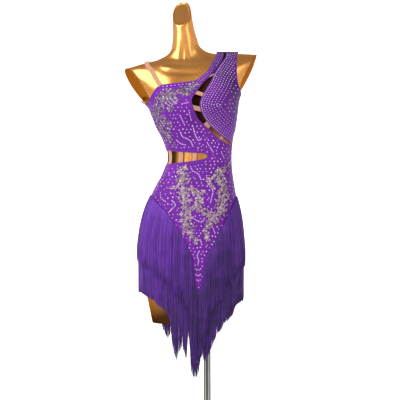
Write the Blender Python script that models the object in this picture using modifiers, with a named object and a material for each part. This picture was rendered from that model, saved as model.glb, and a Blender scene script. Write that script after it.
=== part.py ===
"""A one-shoulder latin dance dress on a limbless dress form with a round stand.

Lengths are in metres. X runs to the viewer's right, -Y to the front and Z up, and the origin
lies on the floor under the centre of the base plate. The figure is a stack of closed rings.
A place on it is given by its turn, 0 at the viewer's right side and a quarter turn at the
front, and by v, which counts the rings from the lowest one. The dress lies just off this
surface, and it hangs straight below the hips, where the figure tapers.
"""

import math

import bmesh
import bpy
import numpy as np
from mathutils import Matrix, Vector

# Driving sizes of the stand.
PLATE_RADIUS = 0.170
PLATE_EDGE = 0.004
PLATE_TOP = 0.008
PLATE_BEVEL = 0.006
POLE_RADIUS = 0.0105
BOSS_RADIUS = 0.021
BOSS_TOP = 0.032
BOSS_BEVEL = 0.002
BOSS_FILLET = 0.006
FLANGE_RADIUS = 0.038
FLANGE_THICK = 0.005
COLLAR_RADIUS = 0.018
COLLAR_LOW = 0.560
COLLAR_FILLET = 0.003
SEAT_GAP = 0.0003
PLATE_STEPS = 32
FLANGE_STEPS = 20
POLE_STEPS = 24

# Driving sizes of the cloth.
CLOTH_CLEAR = 0.0008
CLOTH_WALL = 0.0015
LAYER_GAP = 0.0005
ELASTIC_WALL = 0.0010
ELASTIC_LIFT = 0.0007
ELASTIC_POINTS = 3
LACE_WALL = 0.0010
SEAM_TURN = 0.003
EDGE_GAP = 0.0005
HEM_UNDER_TAPE = 0.009
TAPE_HEIGHT = 0.008
LOCK_WALL = 0.0015
LOCKS_A_ROW = 36
LONG_SWING = 0.0030
SHORT_SWING = 0.0048
HIP_LEVELS = (0.905, 0.835)
LEVEL_ROOM = 0.03
SHORT_MIDDLE = 0.60
LONG_MIDDLE = 0.45
LOCK_SHARE = 0.80
SHORT_LENGTH = 0.190
LONG_GATHER = 0.30
SHORT_GATHER = 0.12
LOCK_TAPER = 0.10
TIP_TAPER = 0.45
BACK_V_SHARE = 0.85
CUTTER_DEPTH = 0.30

# The figure's level rings, from the cut below the hips to the ribs.
TRUNK = (  # z, x_left, x_right, y_front, y_back
    (0.590, -0.166, 0.048, -0.080, 0.082),
    (0.663, -0.181, 0.097, -0.092, 0.098),
    (0.742, -0.194, 0.101, -0.099, 0.113),
    (0.821, -0.199, 0.102, -0.101, 0.122),
    (0.899, -0.189, 0.096, -0.103, 0.110),
    (0.975, -0.167, 0.085, -0.097, 0.086),
    (1.039, -0.134, 0.075, -0.087, 0.067),
    (1.090, -0.119, 0.072, -0.081, 0.062),
    (1.142, -0.133, 0.076, -0.083, 0.069),
    (1.176, -0.151, 0.084, -0.088, 0.077),
    (1.210, -0.165, 0.089, -0.092, 0.083),
)
# The chest and shoulder rings lean, because the two arm stumps sit at unlike heights.
SHOULDERS = (  # x_left, z_left, x_right, z_right, y_front, z_front, y_back, z_back
    (-0.178, 1.240, 0.098, 1.270, -0.096, 1.250, 0.086, 1.250),
    (-0.201, 1.262, 0.117, 1.306, -0.094, 1.277, 0.085, 1.278),
    (-0.228, 1.287, 0.138, 1.339, -0.090, 1.302, 0.083, 1.305),
    (-0.257, 1.316, 0.157, 1.368, -0.084, 1.324, 0.080, 1.330),
    (-0.267, 1.339, 0.165, 1.389, -0.077, 1.340, 0.076, 1.349),
    (-0.254, 1.353, 0.153, 1.399, -0.069, 1.354, 0.072, 1.365),
    (-0.208, 1.368, 0.100, 1.403, -0.059, 1.370, 0.066, 1.382),
    (-0.154, 1.382, 0.020, 1.404, -0.049, 1.386, 0.056, 1.398),
    (-0.115, 1.406, -0.017, 1.420, -0.042, 1.413, 0.049, 1.421),
)
NECK = (  # z, x_left, x_right, y_front, y_back
    (1.448, -0.105, -0.030, -0.040, 0.045),
    (1.490, -0.105, -0.041, -0.040, 0.042),
    (1.545, -0.104, -0.050, -0.037, 0.038),
    (1.600, -0.100, -0.058, -0.032, 0.035),
)
WAIST_RING = 7
SQUARENESS = 0.09
RING_POINTS = 32
FORM_CUTS = (  # name, point on the cut, direction that is cut away
    ("cut_left_arm", (-0.213, 0.0, 1.297), (-0.818, -0.259, -0.514)),
    ("cut_right_arm", (0.126, 0.0, 1.345), (0.906, -0.105, -0.411)),
    ("cut_neck", (-0.075, 0.0, 1.524), (-0.220, -0.745, 0.630)),
)
FORM_CUT_SIZE = 0.26

# The cups: the form has two, and the cloth spans the hollow between them.
CUP_LIFT = 0.040
CUP_Z = 1.243
CUP_LEFT_X = -0.124
CUP_RIGHT_X = 0.046
CUP_WIDE = 0.060
CUP_ABOVE = 0.058
CUP_BELOW = 0.046
CUP_SPAN_DIP = 0.14

# Edges of the pieces as seen from the front: x, z.
NECKLINE = (
    (-0.131, 1.302), (-0.089, 1.306), (-0.048, 1.311), (-0.030, 1.316), (-0.012, 1.332),
    (0.000, 1.343), (0.012, 1.367), (0.027, 1.397), (0.032, 1.430),
)
LEFT_ARMHOLE = (
    (-0.131, 1.302), (-0.147, 1.296), (-0.157, 1.284), (-0.166, 1.271), (-0.180, 1.249),
)
RIGHT_ARMHOLE = (
    (0.104, 1.276), (0.098, 1.291), (0.092, 1.304), (0.089, 1.322), (0.088, 1.350),
    (0.089, 1.383), (0.093, 1.430),
)
KEYHOLE_LEFT = (
    (0.050, 1.430), (0.047, 1.386), (0.028, 1.353), (0.005, 1.324), (-0.012, 1.306),
    (-0.034, 1.275), (-0.046, 1.255), (-0.042, 1.233), (-0.028, 1.202), (-0.012, 1.185),
    (0.019, 1.157), (0.036, 1.142), (0.070, 1.124),
)
KEYHOLE_RIGHT = (
    (0.058, 1.430), (0.056, 1.392), (0.034, 1.357), (0.021, 1.336), (0.011, 1.312),
    (-0.010, 1.275), (-0.020, 1.253), (-0.022, 1.232), (-0.010, 1.204), (0.009, 1.180),
    (0.042, 1.151), (0.073, 1.129),
)
CUTOUT_TOP = ((-0.117, 1.110), (-0.096, 1.105), (-0.057, 1.101), (-0.010, 1.098), (0.002, 1.089))
CUTOUT_LOW = (
    (0.002, 1.089), (-0.010, 1.082), (-0.042, 1.076), (-0.078, 1.072), (-0.117, 1.067),
)
BACK_NECKLINE = (
    (-0.180, 1.249), (-0.120, 1.262), (-0.060, 1.284), (-0.010, 1.320), (0.020, 1.362),
    (0.031, 1.402), (0.032, 1.430),
)
V_EDGE = (
    (-0.240, 0.974), (-0.167, 0.974), (-0.151, 0.953), (-0.114, 0.914), (-0.092, 0.879),
    (-0.071, 0.845), (-0.051, 0.801), (-0.044, 0.772), (-0.037, 0.710), (-0.027, 0.686),
    (-0.012, 0.717), (-0.007, 0.757), (0.000, 0.798), (0.018, 0.828), (0.038, 0.865),
    (0.069, 0.928), (0.087, 0.972), (0.140, 0.972),
)
LONG_HEM = (
    (-0.209, 0.685), (-0.146, 0.648), (-0.107, 0.604), (-0.101, 0.530), (-0.090, 0.495),
    (-0.060, 0.490), (-0.033, 0.438), (-0.013, 0.489), (0.021, 0.541), (0.037, 0.591),
    (0.071, 0.618), (0.106, 0.665),
)

# Elastics over the keyhole: height on the left edge and on the right one, width, gap at the ends.
KEYHOLE_BRIDGES = (
    (1.325, 1.333, 0.007, 0.0015),
    (1.276, 1.269, 0.010, 0.0013),
    (1.232, 1.227, 0.014, 0.0013),
    (1.178, 1.186, 0.013, 0.0013),
    (1.141, 1.149, 0.005, 0.0011),
)
# Elastics over the waist cut-out: left and right x at the front, then at the back.
WAIST_STRAPS = (
    ("waist_strap_side", True, -0.1165, -0.1070), ("waist_strap_middle", True, -0.0850, -0.0720),
    ("waist_strap_inner", True, -0.0440, -0.0320), ("waist_strap_back", False, -0.0850, -0.0720),
)
# Centre lines of the two loose straps, from front to back: turn in degrees, v.
SHOULDER_STRAP = (
    (119.5, 12.80), (118.4, 14.40), (121.8, 15.50), (134.5, 16.65), (157.0, 17.35), (180.0, 17.48),
    (212.0, 17.20), (238.0, 16.00), (241.0, 14.40), (238.0, 12.60), (236.0, 11.47),
)
SHOULDER_STRAP_WIDTH = 0.014
UNDERARM_STRAP = ((163.0, 11.53), (172.0, 11.86), (180.0, 11.98), (188.0, 11.86), (197.0, 11.54))
UNDERARM_STRAP_WIDTH = 0.010
LOOSE_STRAP_CLEAR = 0.0019

# Lace branches on the front: x, z, half width; then lobes on each side and the eyelet radius.
LACE = (
    ("lace_bust", 8, 0.0030, (
        (-0.034, 1.290, 0.009), (-0.062, 1.283, 0.018), (-0.095, 1.272, 0.018),
        (-0.132, 1.255, 0.017), (-0.150, 1.222, 0.013), (-0.143, 1.180, 0.012),
        (-0.108, 1.150, 0.006))),
    ("lace_hip_left", 8, 0.0030, (
        (-0.070, 1.062, 0.005), (-0.076, 1.032, 0.016), (-0.066, 1.000, 0.017),
        (-0.075, 0.965, 0.012), (-0.064, 0.925, 0.015), (-0.052, 0.885, 0.012),
        (-0.036, 0.842, 0.006))),
    ("lace_hip_right", 8, 0.0030, (
        (0.068, 1.066, 0.005), (0.052, 1.035, 0.015), (0.042, 0.995, 0.017),
        (0.046, 0.955, 0.014), (0.028, 0.915, 0.013), (0.006, 0.872, 0.010),
        (-0.008, 0.836, 0.005))),
)
LACE_POINTS_A_LOBE = 4
LOBE_DEPTH = 0.58
EYELET_SHARE = 0.35
EYELET_POINTS = 6

X_LEFT, Z_LEFT, X_RIGHT, Z_RIGHT, Y_FRONT, Z_FRONT, Y_BACK, Z_BACK = range(8)
HALF_TURN = math.pi
FAR_LEFT = -0.30
FAR_RIGHT = 0.20
# Heights where the pieces' outlines run out past the side seams.
LEFT_SEAM_LOW = 0.962
LEFT_SEAM_CUTOUT = (1.067, 1.110)
LEFT_SEAM_TOP = 1.249
RIGHT_SEAM_FRONT = 1.118
RIGHT_SEAM_YOKE = 1.124
RIGHT_SEAM_TOP = 1.276


def level_ring(row):
    z, x_left, x_right, y_front, y_back = row
    return (x_left, z, x_right, z, y_front, z, y_back, z)


def figure_rings():
    rows = [level_ring(row) for row in TRUNK]
    rows += list(SHOULDERS)
    rows += [level_ring(row) for row in NECK]
    return np.array(rows)


def hanging_rings(rings):
    """The same rings, where each below the waist reaches at least as far out as the one above."""
    hung = rings.copy()
    for ring in range(WAIST_RING - 1, -1, -1):
        for column in (X_LEFT, Y_FRONT):
            hung[ring, column] = min(hung[ring, column], hung[ring + 1, column])
        for column in (X_RIGHT, Y_BACK):
            hung[ring, column] = max(hung[ring, column], hung[ring + 1, column])
    return hung


def ring_at(rings, v):
    """A ring between two others, by a smooth cubic through the four nearest."""
    v = np.clip(v, 0.0, len(rings) - 1.0001)
    whole = np.floor(v).astype(int)
    t = (v - whole)[..., None]
    a = rings[np.maximum(whole - 1, 0)]
    b = rings[whole]
    c = rings[whole + 1]
    d = rings[np.minimum(whole + 2, len(rings) - 1)]
    bend = (2 * a - 5 * b + 4 * c - d) * t**2 + (3 * b - a - 3 * c + d) * t**3
    return b + 0.5 * ((c - a) * t + bend)


def cup_depth(x, z, spanned):
    """How far the cups stand out: two bells, joined across the middle where cloth spans them."""
    reach = np.where(z > CUP_Z, CUP_ABOVE, CUP_BELOW)
    height = np.exp(-(((z - CUP_Z) / reach) ** 2))
    bells = sum(np.exp(-(((x - cup) / CUP_WIDE) ** 2)) for cup in (CUP_LEFT_X, CUP_RIGHT_X))
    if spanned:
        across = np.clip((x - CUP_LEFT_X) / (CUP_RIGHT_X - CUP_LEFT_X), 0.0, 1.0)
        between = (across > 0.0) & (across < 1.0)
        bells = np.where(between, 1.0 - CUP_SPAN_DIP * np.sin(math.pi * across), bells)
    return CUP_LIFT * height * bells


def surface(rings, turn, v, spanned=False):
    """Points of the figure: each ring is an oval, squared a little, that may lean."""
    turn, v = np.broadcast_arrays(np.asarray(turn, float), np.asarray(v, float))
    ring = ring_at(rings, v)
    along, ahead = np.cos(turn), np.sin(turn)
    half_width = (ring[..., X_RIGHT] - ring[..., X_LEFT]) / 2
    x = (ring[..., X_RIGHT] + ring[..., X_LEFT]) / 2
    x = x + half_width * along * (1 + SQUARENESS * ahead**2)
    in_front = ahead > 0
    depth = np.where(in_front, -ring[..., Y_FRONT], ring[..., Y_BACK])
    y = -depth * ahead * (1 + SQUARENESS * along**2)
    side_z = (ring[..., Z_RIGHT] + ring[..., Z_LEFT]) / 2
    side_z = side_z + (ring[..., Z_RIGHT] - ring[..., Z_LEFT]) / 2 * along
    middle_z = np.where(in_front, ring[..., Z_FRONT], ring[..., Z_BACK])
    z = side_z + (middle_z - side_z) * ahead**2
    y = y - np.where(in_front, cup_depth(x, z, spanned) * ahead**2, 0.0)
    return np.stack([x, y, z], axis=-1)


FORM_RINGS = figure_rings()
CLOTH_RINGS = hanging_rings(FORM_RINGS)


def cloth(turn, v, off=0.0):
    """Points of the dress's inner face, moved out by off along the surface's direction."""
    step = 1e-3
    turn, v = np.broadcast_arrays(np.asarray(turn, float), np.asarray(v, float))
    points = surface(CLOTH_RINGS, turn, v, True)
    across = surface(CLOTH_RINGS, turn + step, v, True) - surface(CLOTH_RINGS, turn - step, v, True)
    up = surface(CLOTH_RINGS, turn, v + step, True) - surface(CLOTH_RINGS, turn, v - step, True)
    out = np.cross(up, across)
    out /= np.linalg.norm(out, axis=-1, keepdims=True)
    return points + out * (CLOTH_CLEAR + off)


def locate(x, z, front=True):
    """The turn and v of the place on the front or the back that is seen at x, z."""
    turn = HALF_TURN / 2 if front else HALF_TURN * 3 / 2
    v, turn_reach, v_reach = 9.0, HALF_TURN / 2, 9.0
    for _ in range(4):
        turns, vs = np.meshgrid(
            turn + np.linspace(-turn_reach, turn_reach, 61), v + np.linspace(-v_reach, v_reach, 121)
        )
        seen = cloth(turns, vs)
        nearest = np.argmin((seen[..., 0] - x) ** 2 + (seen[..., 2] - z) ** 2)
        turn, v = turns.flat[nearest], vs.flat[nearest]
        turn_reach, v_reach = turn_reach / 12, v_reach / 24
    return turn, v


def smooth_line(points, pieces):
    """A smooth line through points of any size, with the given number of pieces in each gap."""
    rows = np.array(points, float)
    steps = np.linspace(0, len(rows) - 1, (len(rows) - 1) * pieces + 1)
    return ring_at(rows, steps)


def v_of_height(z):
    """v on the level rings below the chest, where a height has one v all round."""
    heights = CLOTH_RINGS[: len(TRUNK), Z_LEFT]
    vs = np.linspace(0, len(TRUNK) - 1, 801)
    return np.interp(z, ring_at(heights[:, None], vs)[:, 0], vs)


def hanging_point(turn, z, off):
    """A point of the fringe's fall, which goes straight down below the lowest ring."""
    turn, z = np.broadcast_arrays(np.asarray(turn, float), np.asarray(z, float))
    point = cloth(turn, v_of_height(np.maximum(z, TRUNK[0][0])), off)
    point[..., 2] = z
    return point


def material(name, colour, roughness, metallic=0.0):
    made = bpy.data.materials.new(name)
    made.diffuse_color = (*colour, 1.0)
    made.use_nodes = True
    principled = made.node_tree.nodes["Principled BSDF"]
    principled.inputs["Base Color"].default_value = (*colour, 1.0)
    principled.inputs["Roughness"].default_value = roughness
    principled.inputs["Metallic"].default_value = metallic
    return made


def add_object(name, mesh, collection, made_of=None, smooth=True):
    obj = bpy.data.objects.new(name, mesh)
    collection.objects.link(obj)
    if made_of is not None:
        mesh.materials.append(made_of)
    if smooth:
        mesh.shade_smooth()
        mesh.set_sharp_from_angle(angle=math.radians(35))
    return obj


def grid_mesh(name, points):
    """A sheet of four-sided faces over a grid of points, facing out."""
    rows, columns = points.shape[:2]
    bm = bmesh.new()
    verts = [[bm.verts.new(point) for point in row] for row in points]
    for i in range(rows - 1):
        for j in range(columns - 1):
            bm.faces.new((verts[i][j], verts[i][j + 1], verts[i + 1][j + 1], verts[i + 1][j]))
    # The form and the cloth over it are split along the same diagonals, so that none crosses.
    bmesh.ops.triangulate(bm, faces=bm.faces, quad_method="FIXED")
    mesh = bpy.data.meshes.new(name)
    bm.to_mesh(mesh)
    bm.free()
    return mesh


def add_solidify(obj, thickness):
    shell = obj.modifiers.new("wall", "SOLIDIFY")
    shell.thickness = thickness
    shell.offset = 1.0
    shell.use_rim = True


def add_boolean(obj, cutter, operation):
    cut = obj.modifiers.new(cutter.name, "BOOLEAN")
    cut.operation = operation
    cut.solver = "EXACT"
    cut.object = cutter


def outline_cutter(name, outlines, cutters):
    """A prism along Y through closed outlines seen from the front; an inner outline is a hole."""
    curve = bpy.data.curves.new(name, "CURVE")
    curve.dimensions = "2D"
    curve.fill_mode = "BOTH"
    curve.extrude = CUTTER_DEPTH
    for outline in outlines:
        spline = curve.splines.new("POLY")
        spline.points.add(len(outline) - 1)
        spline.use_cyclic_u = True
        for place, (x, z) in zip(spline.points, outline):
            place.co = (x, z, 0.0, 1.0)
    guide = bpy.data.objects.new(name + "_guide", curve)
    guide.rotation_euler = (math.radians(90), 0.0, 0.0)
    cutters.objects.link(guide)
    bpy.context.view_layer.update()
    evaluated = guide.evaluated_get(bpy.context.evaluated_depsgraph_get())
    mesh = bpy.data.meshes.new_from_object(evaluated)
    mesh.transform(guide.matrix_world)
    bpy.data.objects.remove(guide)
    bm = bmesh.new()
    bm.from_mesh(mesh)
    bmesh.ops.remove_doubles(bm, verts=bm.verts, dist=0.00002)
    bmesh.ops.recalc_face_normals(bm, faces=bm.faces)
    bm.to_mesh(mesh)
    bm.free()
    cutter = add_object(name, mesh, cutters, smooth=False)
    cutter.hide_render = True
    cutter.display_type = "WIRE"
    return cutter


def half_shell(front, v_low, v_high, off):
    """A grid over the front or the back of the figure, on the same turns and rings each time."""
    start = 0.0 if front else HALF_TURN
    turns = np.linspace(start, start + HALF_TURN, RING_POINTS // 2 + 1)
    turns[0] += SEAM_TURN
    turns[-1] -= SEAM_TURN
    vs = np.arange(v_low, v_high + 0.01, 0.5)
    return cloth(turns[None, :], vs[:, None], off)[:, ::-1]


def add_panel(name, outlines, front, v_range, off, wall, made_of, parts, cutters):
    """A cut piece of cloth: a half shell with a wall, trimmed to its outlines."""
    mesh = grid_mesh(name, half_shell(front, *v_range, off))
    panel = add_object(name, mesh, parts, made_of)
    add_solidify(panel, wall)
    add_boolean(panel, outline_cutter(name + "_outline", outlines, cutters), "INTERSECT")
    return panel


def hem_height(x, front=True):
    """The fringe seam seen from the front at x; the back's V is a little less deep."""
    xs, zs = np.array(V_EDGE).T
    z = np.interp(x, xs, zs)
    return z if front else zs[0] + (z - zs[0]) * BACK_V_SHARE


def hem_outline(front):
    xs = np.array(V_EDGE)[:, 0]
    return [(x, float(hem_height(x, front)) - HEM_UNDER_TAPE) for x in xs]


def left_side():
    """The left side of the front and of the back, upwards, with the cut-out at the waist."""
    low, high = LEFT_SEAM_CUTOUT
    side = [(FAR_LEFT, LEFT_SEAM_LOW), (FAR_LEFT, low)]
    side += [tuple(p) for p in smooth_line(CUTOUT_LOW[::-1], 2)]
    side += [tuple(p) for p in smooth_line(CUTOUT_TOP[::-1], 2)][1:]
    return side + [(FAR_LEFT, high), (FAR_LEFT, LEFT_SEAM_TOP)]


def front_outline():
    """The one-shoulder front, clockwise from the shoulder: keyhole, side, V hem and cut-out."""
    outline = [tuple(p) for p in smooth_line(KEYHOLE_LEFT, 2)]
    outline += [(FAR_RIGHT, RIGHT_SEAM_FRONT)]
    outline += reversed(hem_outline(True))
    outline += left_side()
    outline += [tuple(p) for p in smooth_line(LEFT_ARMHOLE[::-1], 1)]
    outline += [tuple(p) for p in smooth_line(NECKLINE, 2)][1:]
    return outline


def shoulder_outline():
    outline = [tuple(p) for p in smooth_line(KEYHOLE_RIGHT, 2)]
    outline += [(FAR_RIGHT, RIGHT_SEAM_YOKE), (FAR_RIGHT, RIGHT_SEAM_TOP)]
    outline += [tuple(p) for p in smooth_line(RIGHT_ARMHOLE, 2)]
    return outline


def back_outline():
    outline = [tuple(p) for p in smooth_line(BACK_NECKLINE, 2)]
    outline += [tuple(p) for p in smooth_line(RIGHT_ARMHOLE[::-1], 2)]
    outline += [(FAR_RIGHT, RIGHT_SEAM_TOP)]
    outline += reversed(hem_outline(False))
    outline += left_side()
    return outline


def make_panels(parts, cutters):
    velvet = material("purple_stretch_cloth", (0.20, 0.045, 0.47), 0.55)
    pieces = (
        ("front_panel", front_outline(), True, (1.0, 18.0)),
        ("shoulder_panel", shoulder_outline(), True, (7.0, 18.0)),
        ("back_panel", back_outline(), False, (1.0, 18.0)),
    )
    for name, outline, front, v_range in pieces:
        add_panel(name, [outline], front, v_range, 0.0, CLOTH_WALL, velvet, parts, cutters)


def lace_outlines(lobes, eyelet, spine):
    """A branch with round lobes on both sides of its spine, and an eyelet in most lobes."""
    count = lobes * LACE_POINTS_A_LOBE
    steps = np.linspace(0, len(spine) - 1, count + 1)
    line = ring_at(np.array(spine), steps)
    ahead = np.gradient(line[:, :2], axis=0)
    ahead /= np.linalg.norm(ahead, axis=1, keepdims=True)
    aside = np.stack([-ahead[:, 1], ahead[:, 0]], axis=1)
    phase = np.linspace(0, lobes, count + 1)
    left = line[:, 2] * (1 - LOBE_DEPTH + LOBE_DEPTH * np.abs(np.sin(math.pi * phase)))
    right = line[:, 2] * (1 - LOBE_DEPTH + LOBE_DEPTH * np.abs(np.cos(math.pi * phase)))
    edge_a = line[:, :2] + aside * left[:, None]
    edge_b = line[:, :2] - aside * right[:, None]
    outlines = [[tuple(p) for p in edge_a] + [tuple(p) for p in edge_b[::-1]]]
    for lobe in range(1, lobes - 1):
        at = int((lobe + 0.5) * LACE_POINTS_A_LOBE)
        if line[at, 2] < 3 * eyelet:
            continue
        centre = line[at, :2] + aside[at] * line[at, 2] * EYELET_SHARE
        turns = np.linspace(0, 2 * math.pi, EYELET_POINTS + 1)[:-1]
        ring = centre + eyelet * np.stack([np.cos(turns), np.sin(turns)], axis=1)
        outlines.append([tuple(p) for p in ring])
    return outlines


def make_lace(parts, cutters):
    silver = material("silver_grey_lace", (0.36, 0.30, 0.38), 0.45)
    off = CLOTH_WALL + LAYER_GAP
    for name, lobes, eyelet, spine in LACE:
        heights = [row[1] for row in spine]
        low = math.floor(2 * locate(spine[0][0], min(heights) - 0.02)[1]) / 2
        high = math.ceil(2 * locate(spine[0][0], max(heights) + 0.02)[1]) / 2
        outlines = lace_outlines(lobes, eyelet, spine)
        add_panel(name, outlines, True, (low, high), off, LACE_WALL, silver, parts, cutters)


def add_elastic(name, corners, made_of, parts):
    """A short flat elastic between four places on the surface: low pair, then high pair."""
    low_a, low_b, high_a, high_b = (np.array(corner) for corner in corners)
    across = np.linspace(0, 1, ELASTIC_POINTS)[None, :, None]
    along = np.linspace(0, 1, ELASTIC_POINTS)[:, None, None]
    places = (low_a + (low_b - low_a) * across) * (1 - along)
    places = places + (high_a + (high_b - high_a) * across) * along
    points = cloth(places[..., 0], places[..., 1], ELASTIC_LIFT)
    elastic = add_object(name, grid_mesh(name, points), parts, made_of)
    add_solidify(elastic, ELASTIC_WALL)


def height_on(edge, z):
    """The x of a keyhole edge at height z."""
    line = smooth_line(edge, 4)
    return np.interp(z, line[::-1, 1], line[::-1, 0])


def edge_on(edge, x):
    """The z of a cut-out edge at x."""
    line = smooth_line(edge, 4)
    order = np.argsort(line[:, 0])
    return np.interp(x, line[order, 0], line[order, 1])


def make_keyhole_bridges(elastic, parts):
    for number, (z_left, z_right, width, gap) in enumerate(KEYHOLE_BRIDGES, 1):
        corners = []
        for rise in (-width / 2, width / 2):
            left = Vector((height_on(KEYHOLE_LEFT, z_left + rise), z_left + rise))
            right = Vector((height_on(KEYHOLE_RIGHT, z_right + rise), z_right + rise))
            inset = (right - left).normalized() * gap
            corners += [locate(*(left + inset)), locate(*(right - inset))]
        add_elastic(f"keyhole_bridge_{number}", corners, elastic, parts)


def make_waist_straps(elastic, parts):
    for name, front, x_left, x_right in WAIST_STRAPS:
        corners = []
        for edge, inset in ((CUTOUT_LOW, EDGE_GAP), (CUTOUT_TOP, -EDGE_GAP)):
            pair = [locate(x, edge_on(edge, x) + inset, front) for x in (x_left, x_right)]
            corners += pair if front else pair[::-1]
        add_elastic(name, corners, elastic, parts)


def add_loose_strap(name, path, width, made_of, parts):
    """A strap along a line over the figure, a little clear of it."""
    line = smooth_line([(math.radians(turn), v) for turn, v in path], 3)
    middle = cloth(line[:, 0], line[:, 1], LOOSE_STRAP_CLEAR)
    outward = middle - cloth(line[:, 0], line[:, 1])
    ahead = np.gradient(middle, axis=0)
    aside = np.cross(outward, ahead)
    aside *= (width / 2) / np.linalg.norm(aside, axis=1, keepdims=True)
    points = np.stack([middle - aside, middle, middle + aside], axis=1)
    strap = add_object(name, grid_mesh(name, points), parts, made_of)
    add_solidify(strap, ELASTIC_WALL)


def make_elastics(parts):
    elastic = material("nude_elastic", (0.80, 0.46, 0.31), 0.6)
    make_keyhole_bridges(elastic, parts)
    make_waist_straps(elastic, parts)
    add_loose_strap("shoulder_strap", SHOULDER_STRAP, SHOULDER_STRAP_WIDTH, elastic, parts)
    add_loose_strap("underarm_strap", UNDERARM_STRAP, UNDERARM_STRAP_WIDTH, elastic, parts)


def seam_height(turn, front):
    """The height at which the fringe seam crosses this turn, by halving the interval."""
    low, high = TRUNK[0][0] + 0.01, 1.0
    for _ in range(30):
        middle = (low + high) / 2
        x = cloth(turn, v_of_height(middle))[0]
        if middle < hem_height(x, front):
            low = middle
        else:
            high = middle
    return low


def lock_levels(turn, front, long):
    """Heights of a lock below its root: over the round of the hip, part way down, at the tip."""
    seam = seam_height(turn, front)
    levels = [z for z in HIP_LEVELS if z < seam - LEVEL_ROOM]
    if not long:
        if not levels:
            levels = [seam - SHORT_LENGTH * SHORT_MIDDLE]
        return levels + [seam - SHORT_LENGTH]
    x = cloth(turn, v_of_height(max(seam - SHORT_LENGTH, TRUNK[0][0])))[0]
    tip = float(np.interp(x, *np.array(LONG_HEM).T))
    above = min(levels + [seam])
    return levels + [above + (tip - above) * LONG_MIDDLE, tip]


def clump_turn(turn, clump_middle, share):
    return clump_middle + (turn - clump_middle) * share


def make_fringe_row(name, front, long, made_of, parts):
    """A tape along the V seam whose underside is drawn down into flat locks that stand apart."""
    inner_off = CLOTH_WALL + LAYER_GAP + (0.0 if long else LOCK_WALL + LAYER_GAP)
    offs = (inner_off, inner_off + LOCK_WALL)
    swing = LONG_SWING if long else SHORT_SWING
    start = (0.0 if front else HALF_TURN) + 2 * SEAM_TURN
    pitch = (HALF_TURN - 4 * SEAM_TURN) / LOCKS_A_ROW
    a_clump = 4 if long else 3
    bm = bmesh.new()

    def station(turn, z, out=0.0):
        return [bm.verts.new(hanging_point(turn, z, off + out)) for off in offs]

    tape = []
    locks = []
    for lock in range(LOCKS_A_ROW):
        middle = start + (lock + 0.5) * pitch
        edges = [middle - pitch * LOCK_SHARE / 2, middle + pitch * LOCK_SHARE / 2]
        if lock == 0:
            edges[0] = start
        if lock == LOCKS_A_ROW - 1:
            edges[1] = start + LOCKS_A_ROW * pitch
        for turn in edges:
            seam = seam_height(turn, front)
            tape.append(station(turn, seam) + station(turn, seam - TAPE_HEIGHT))
        clump = start + (lock // a_clump + 0.5) * a_clump * pitch
        levels = lock_levels(middle, front, long)
        rings = []
        for z in levels:
            down = (levels[0] - z) / (levels[0] - levels[-1])
            gather = 1.0 - (LONG_GATHER if long else SHORT_GATHER) * down**2
            taper = TIP_TAPER if z == levels[-1] else 1.0 - LOCK_TAPER * down
            centre = clump_turn(middle, clump, gather)
            half = pitch * LOCK_SHARE / 2 * gather * taper
            rings.append(station(centre - half, z, swing) + station(centre + half, z, swing))
        locks.append(rings)

    def quad(a, b, c, d):
        bm.faces.new((a, b, c, d))

    for k, (here, there) in enumerate(zip(tape, tape[1:])):
        # Each station holds the inner and outer point on top, then the inner and outer below.
        quad(here[0], here[1], there[1], there[0])
        quad(here[1], here[3], there[3], there[1])
        quad(here[2], here[0], there[0], there[2])
        if k % 2:
            quad(here[3], here[2], there[2], there[3])
            continue
        above = (here[2], here[3], there[2], there[3])
        for ring in locks[k // 2]:
            quad(above[1], ring[1], ring[3], above[3])
            quad(above[2], ring[2], ring[0], above[0])
            quad(above[0], ring[0], ring[1], above[1])
            quad(above[3], ring[3], ring[2], above[2])
            above = ring
        quad(above[0], above[2], above[3], above[1])
    quad(tape[0][1], tape[0][0], tape[0][2], tape[0][3])
    quad(tape[-1][0], tape[-1][1], tape[-1][3], tape[-1][2])
    bmesh.ops.recalc_face_normals(bm, faces=bm.faces)
    mesh = bpy.data.meshes.new(name)
    bm.to_mesh(mesh)
    bm.free()
    add_object(name, mesh, parts, made_of, smooth=False)


def make_fringe(parts):
    thread = material("purple_fringe", (0.12, 0.045, 0.36), 0.5)
    for side, front in (("front", True), ("back", False)):
        for row, long in (("long", True), ("short", False)):
            make_fringe_row(f"fringe_{side}_{row}", front, long, thread, parts)


def cutting_block(name, point, direction, cutters):
    """A cube whose face goes through the point and which lies on the side of the direction."""
    bm = bmesh.new()
    bmesh.ops.create_cube(bm, size=FORM_CUT_SIZE)
    outward = Vector(direction).normalized()
    turn = outward.to_track_quat("Z", "Y").to_matrix().to_4x4()
    move = Matrix.Translation(Vector(point) + outward * FORM_CUT_SIZE / 2)
    bmesh.ops.transform(bm, matrix=move @ turn, verts=bm.verts)
    mesh = bpy.data.meshes.new(name)
    bm.to_mesh(mesh)
    bm.free()
    block = add_object(name, mesh, cutters, smooth=False)
    block.hide_render = True
    block.display_type = "WIRE"
    return block


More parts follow.
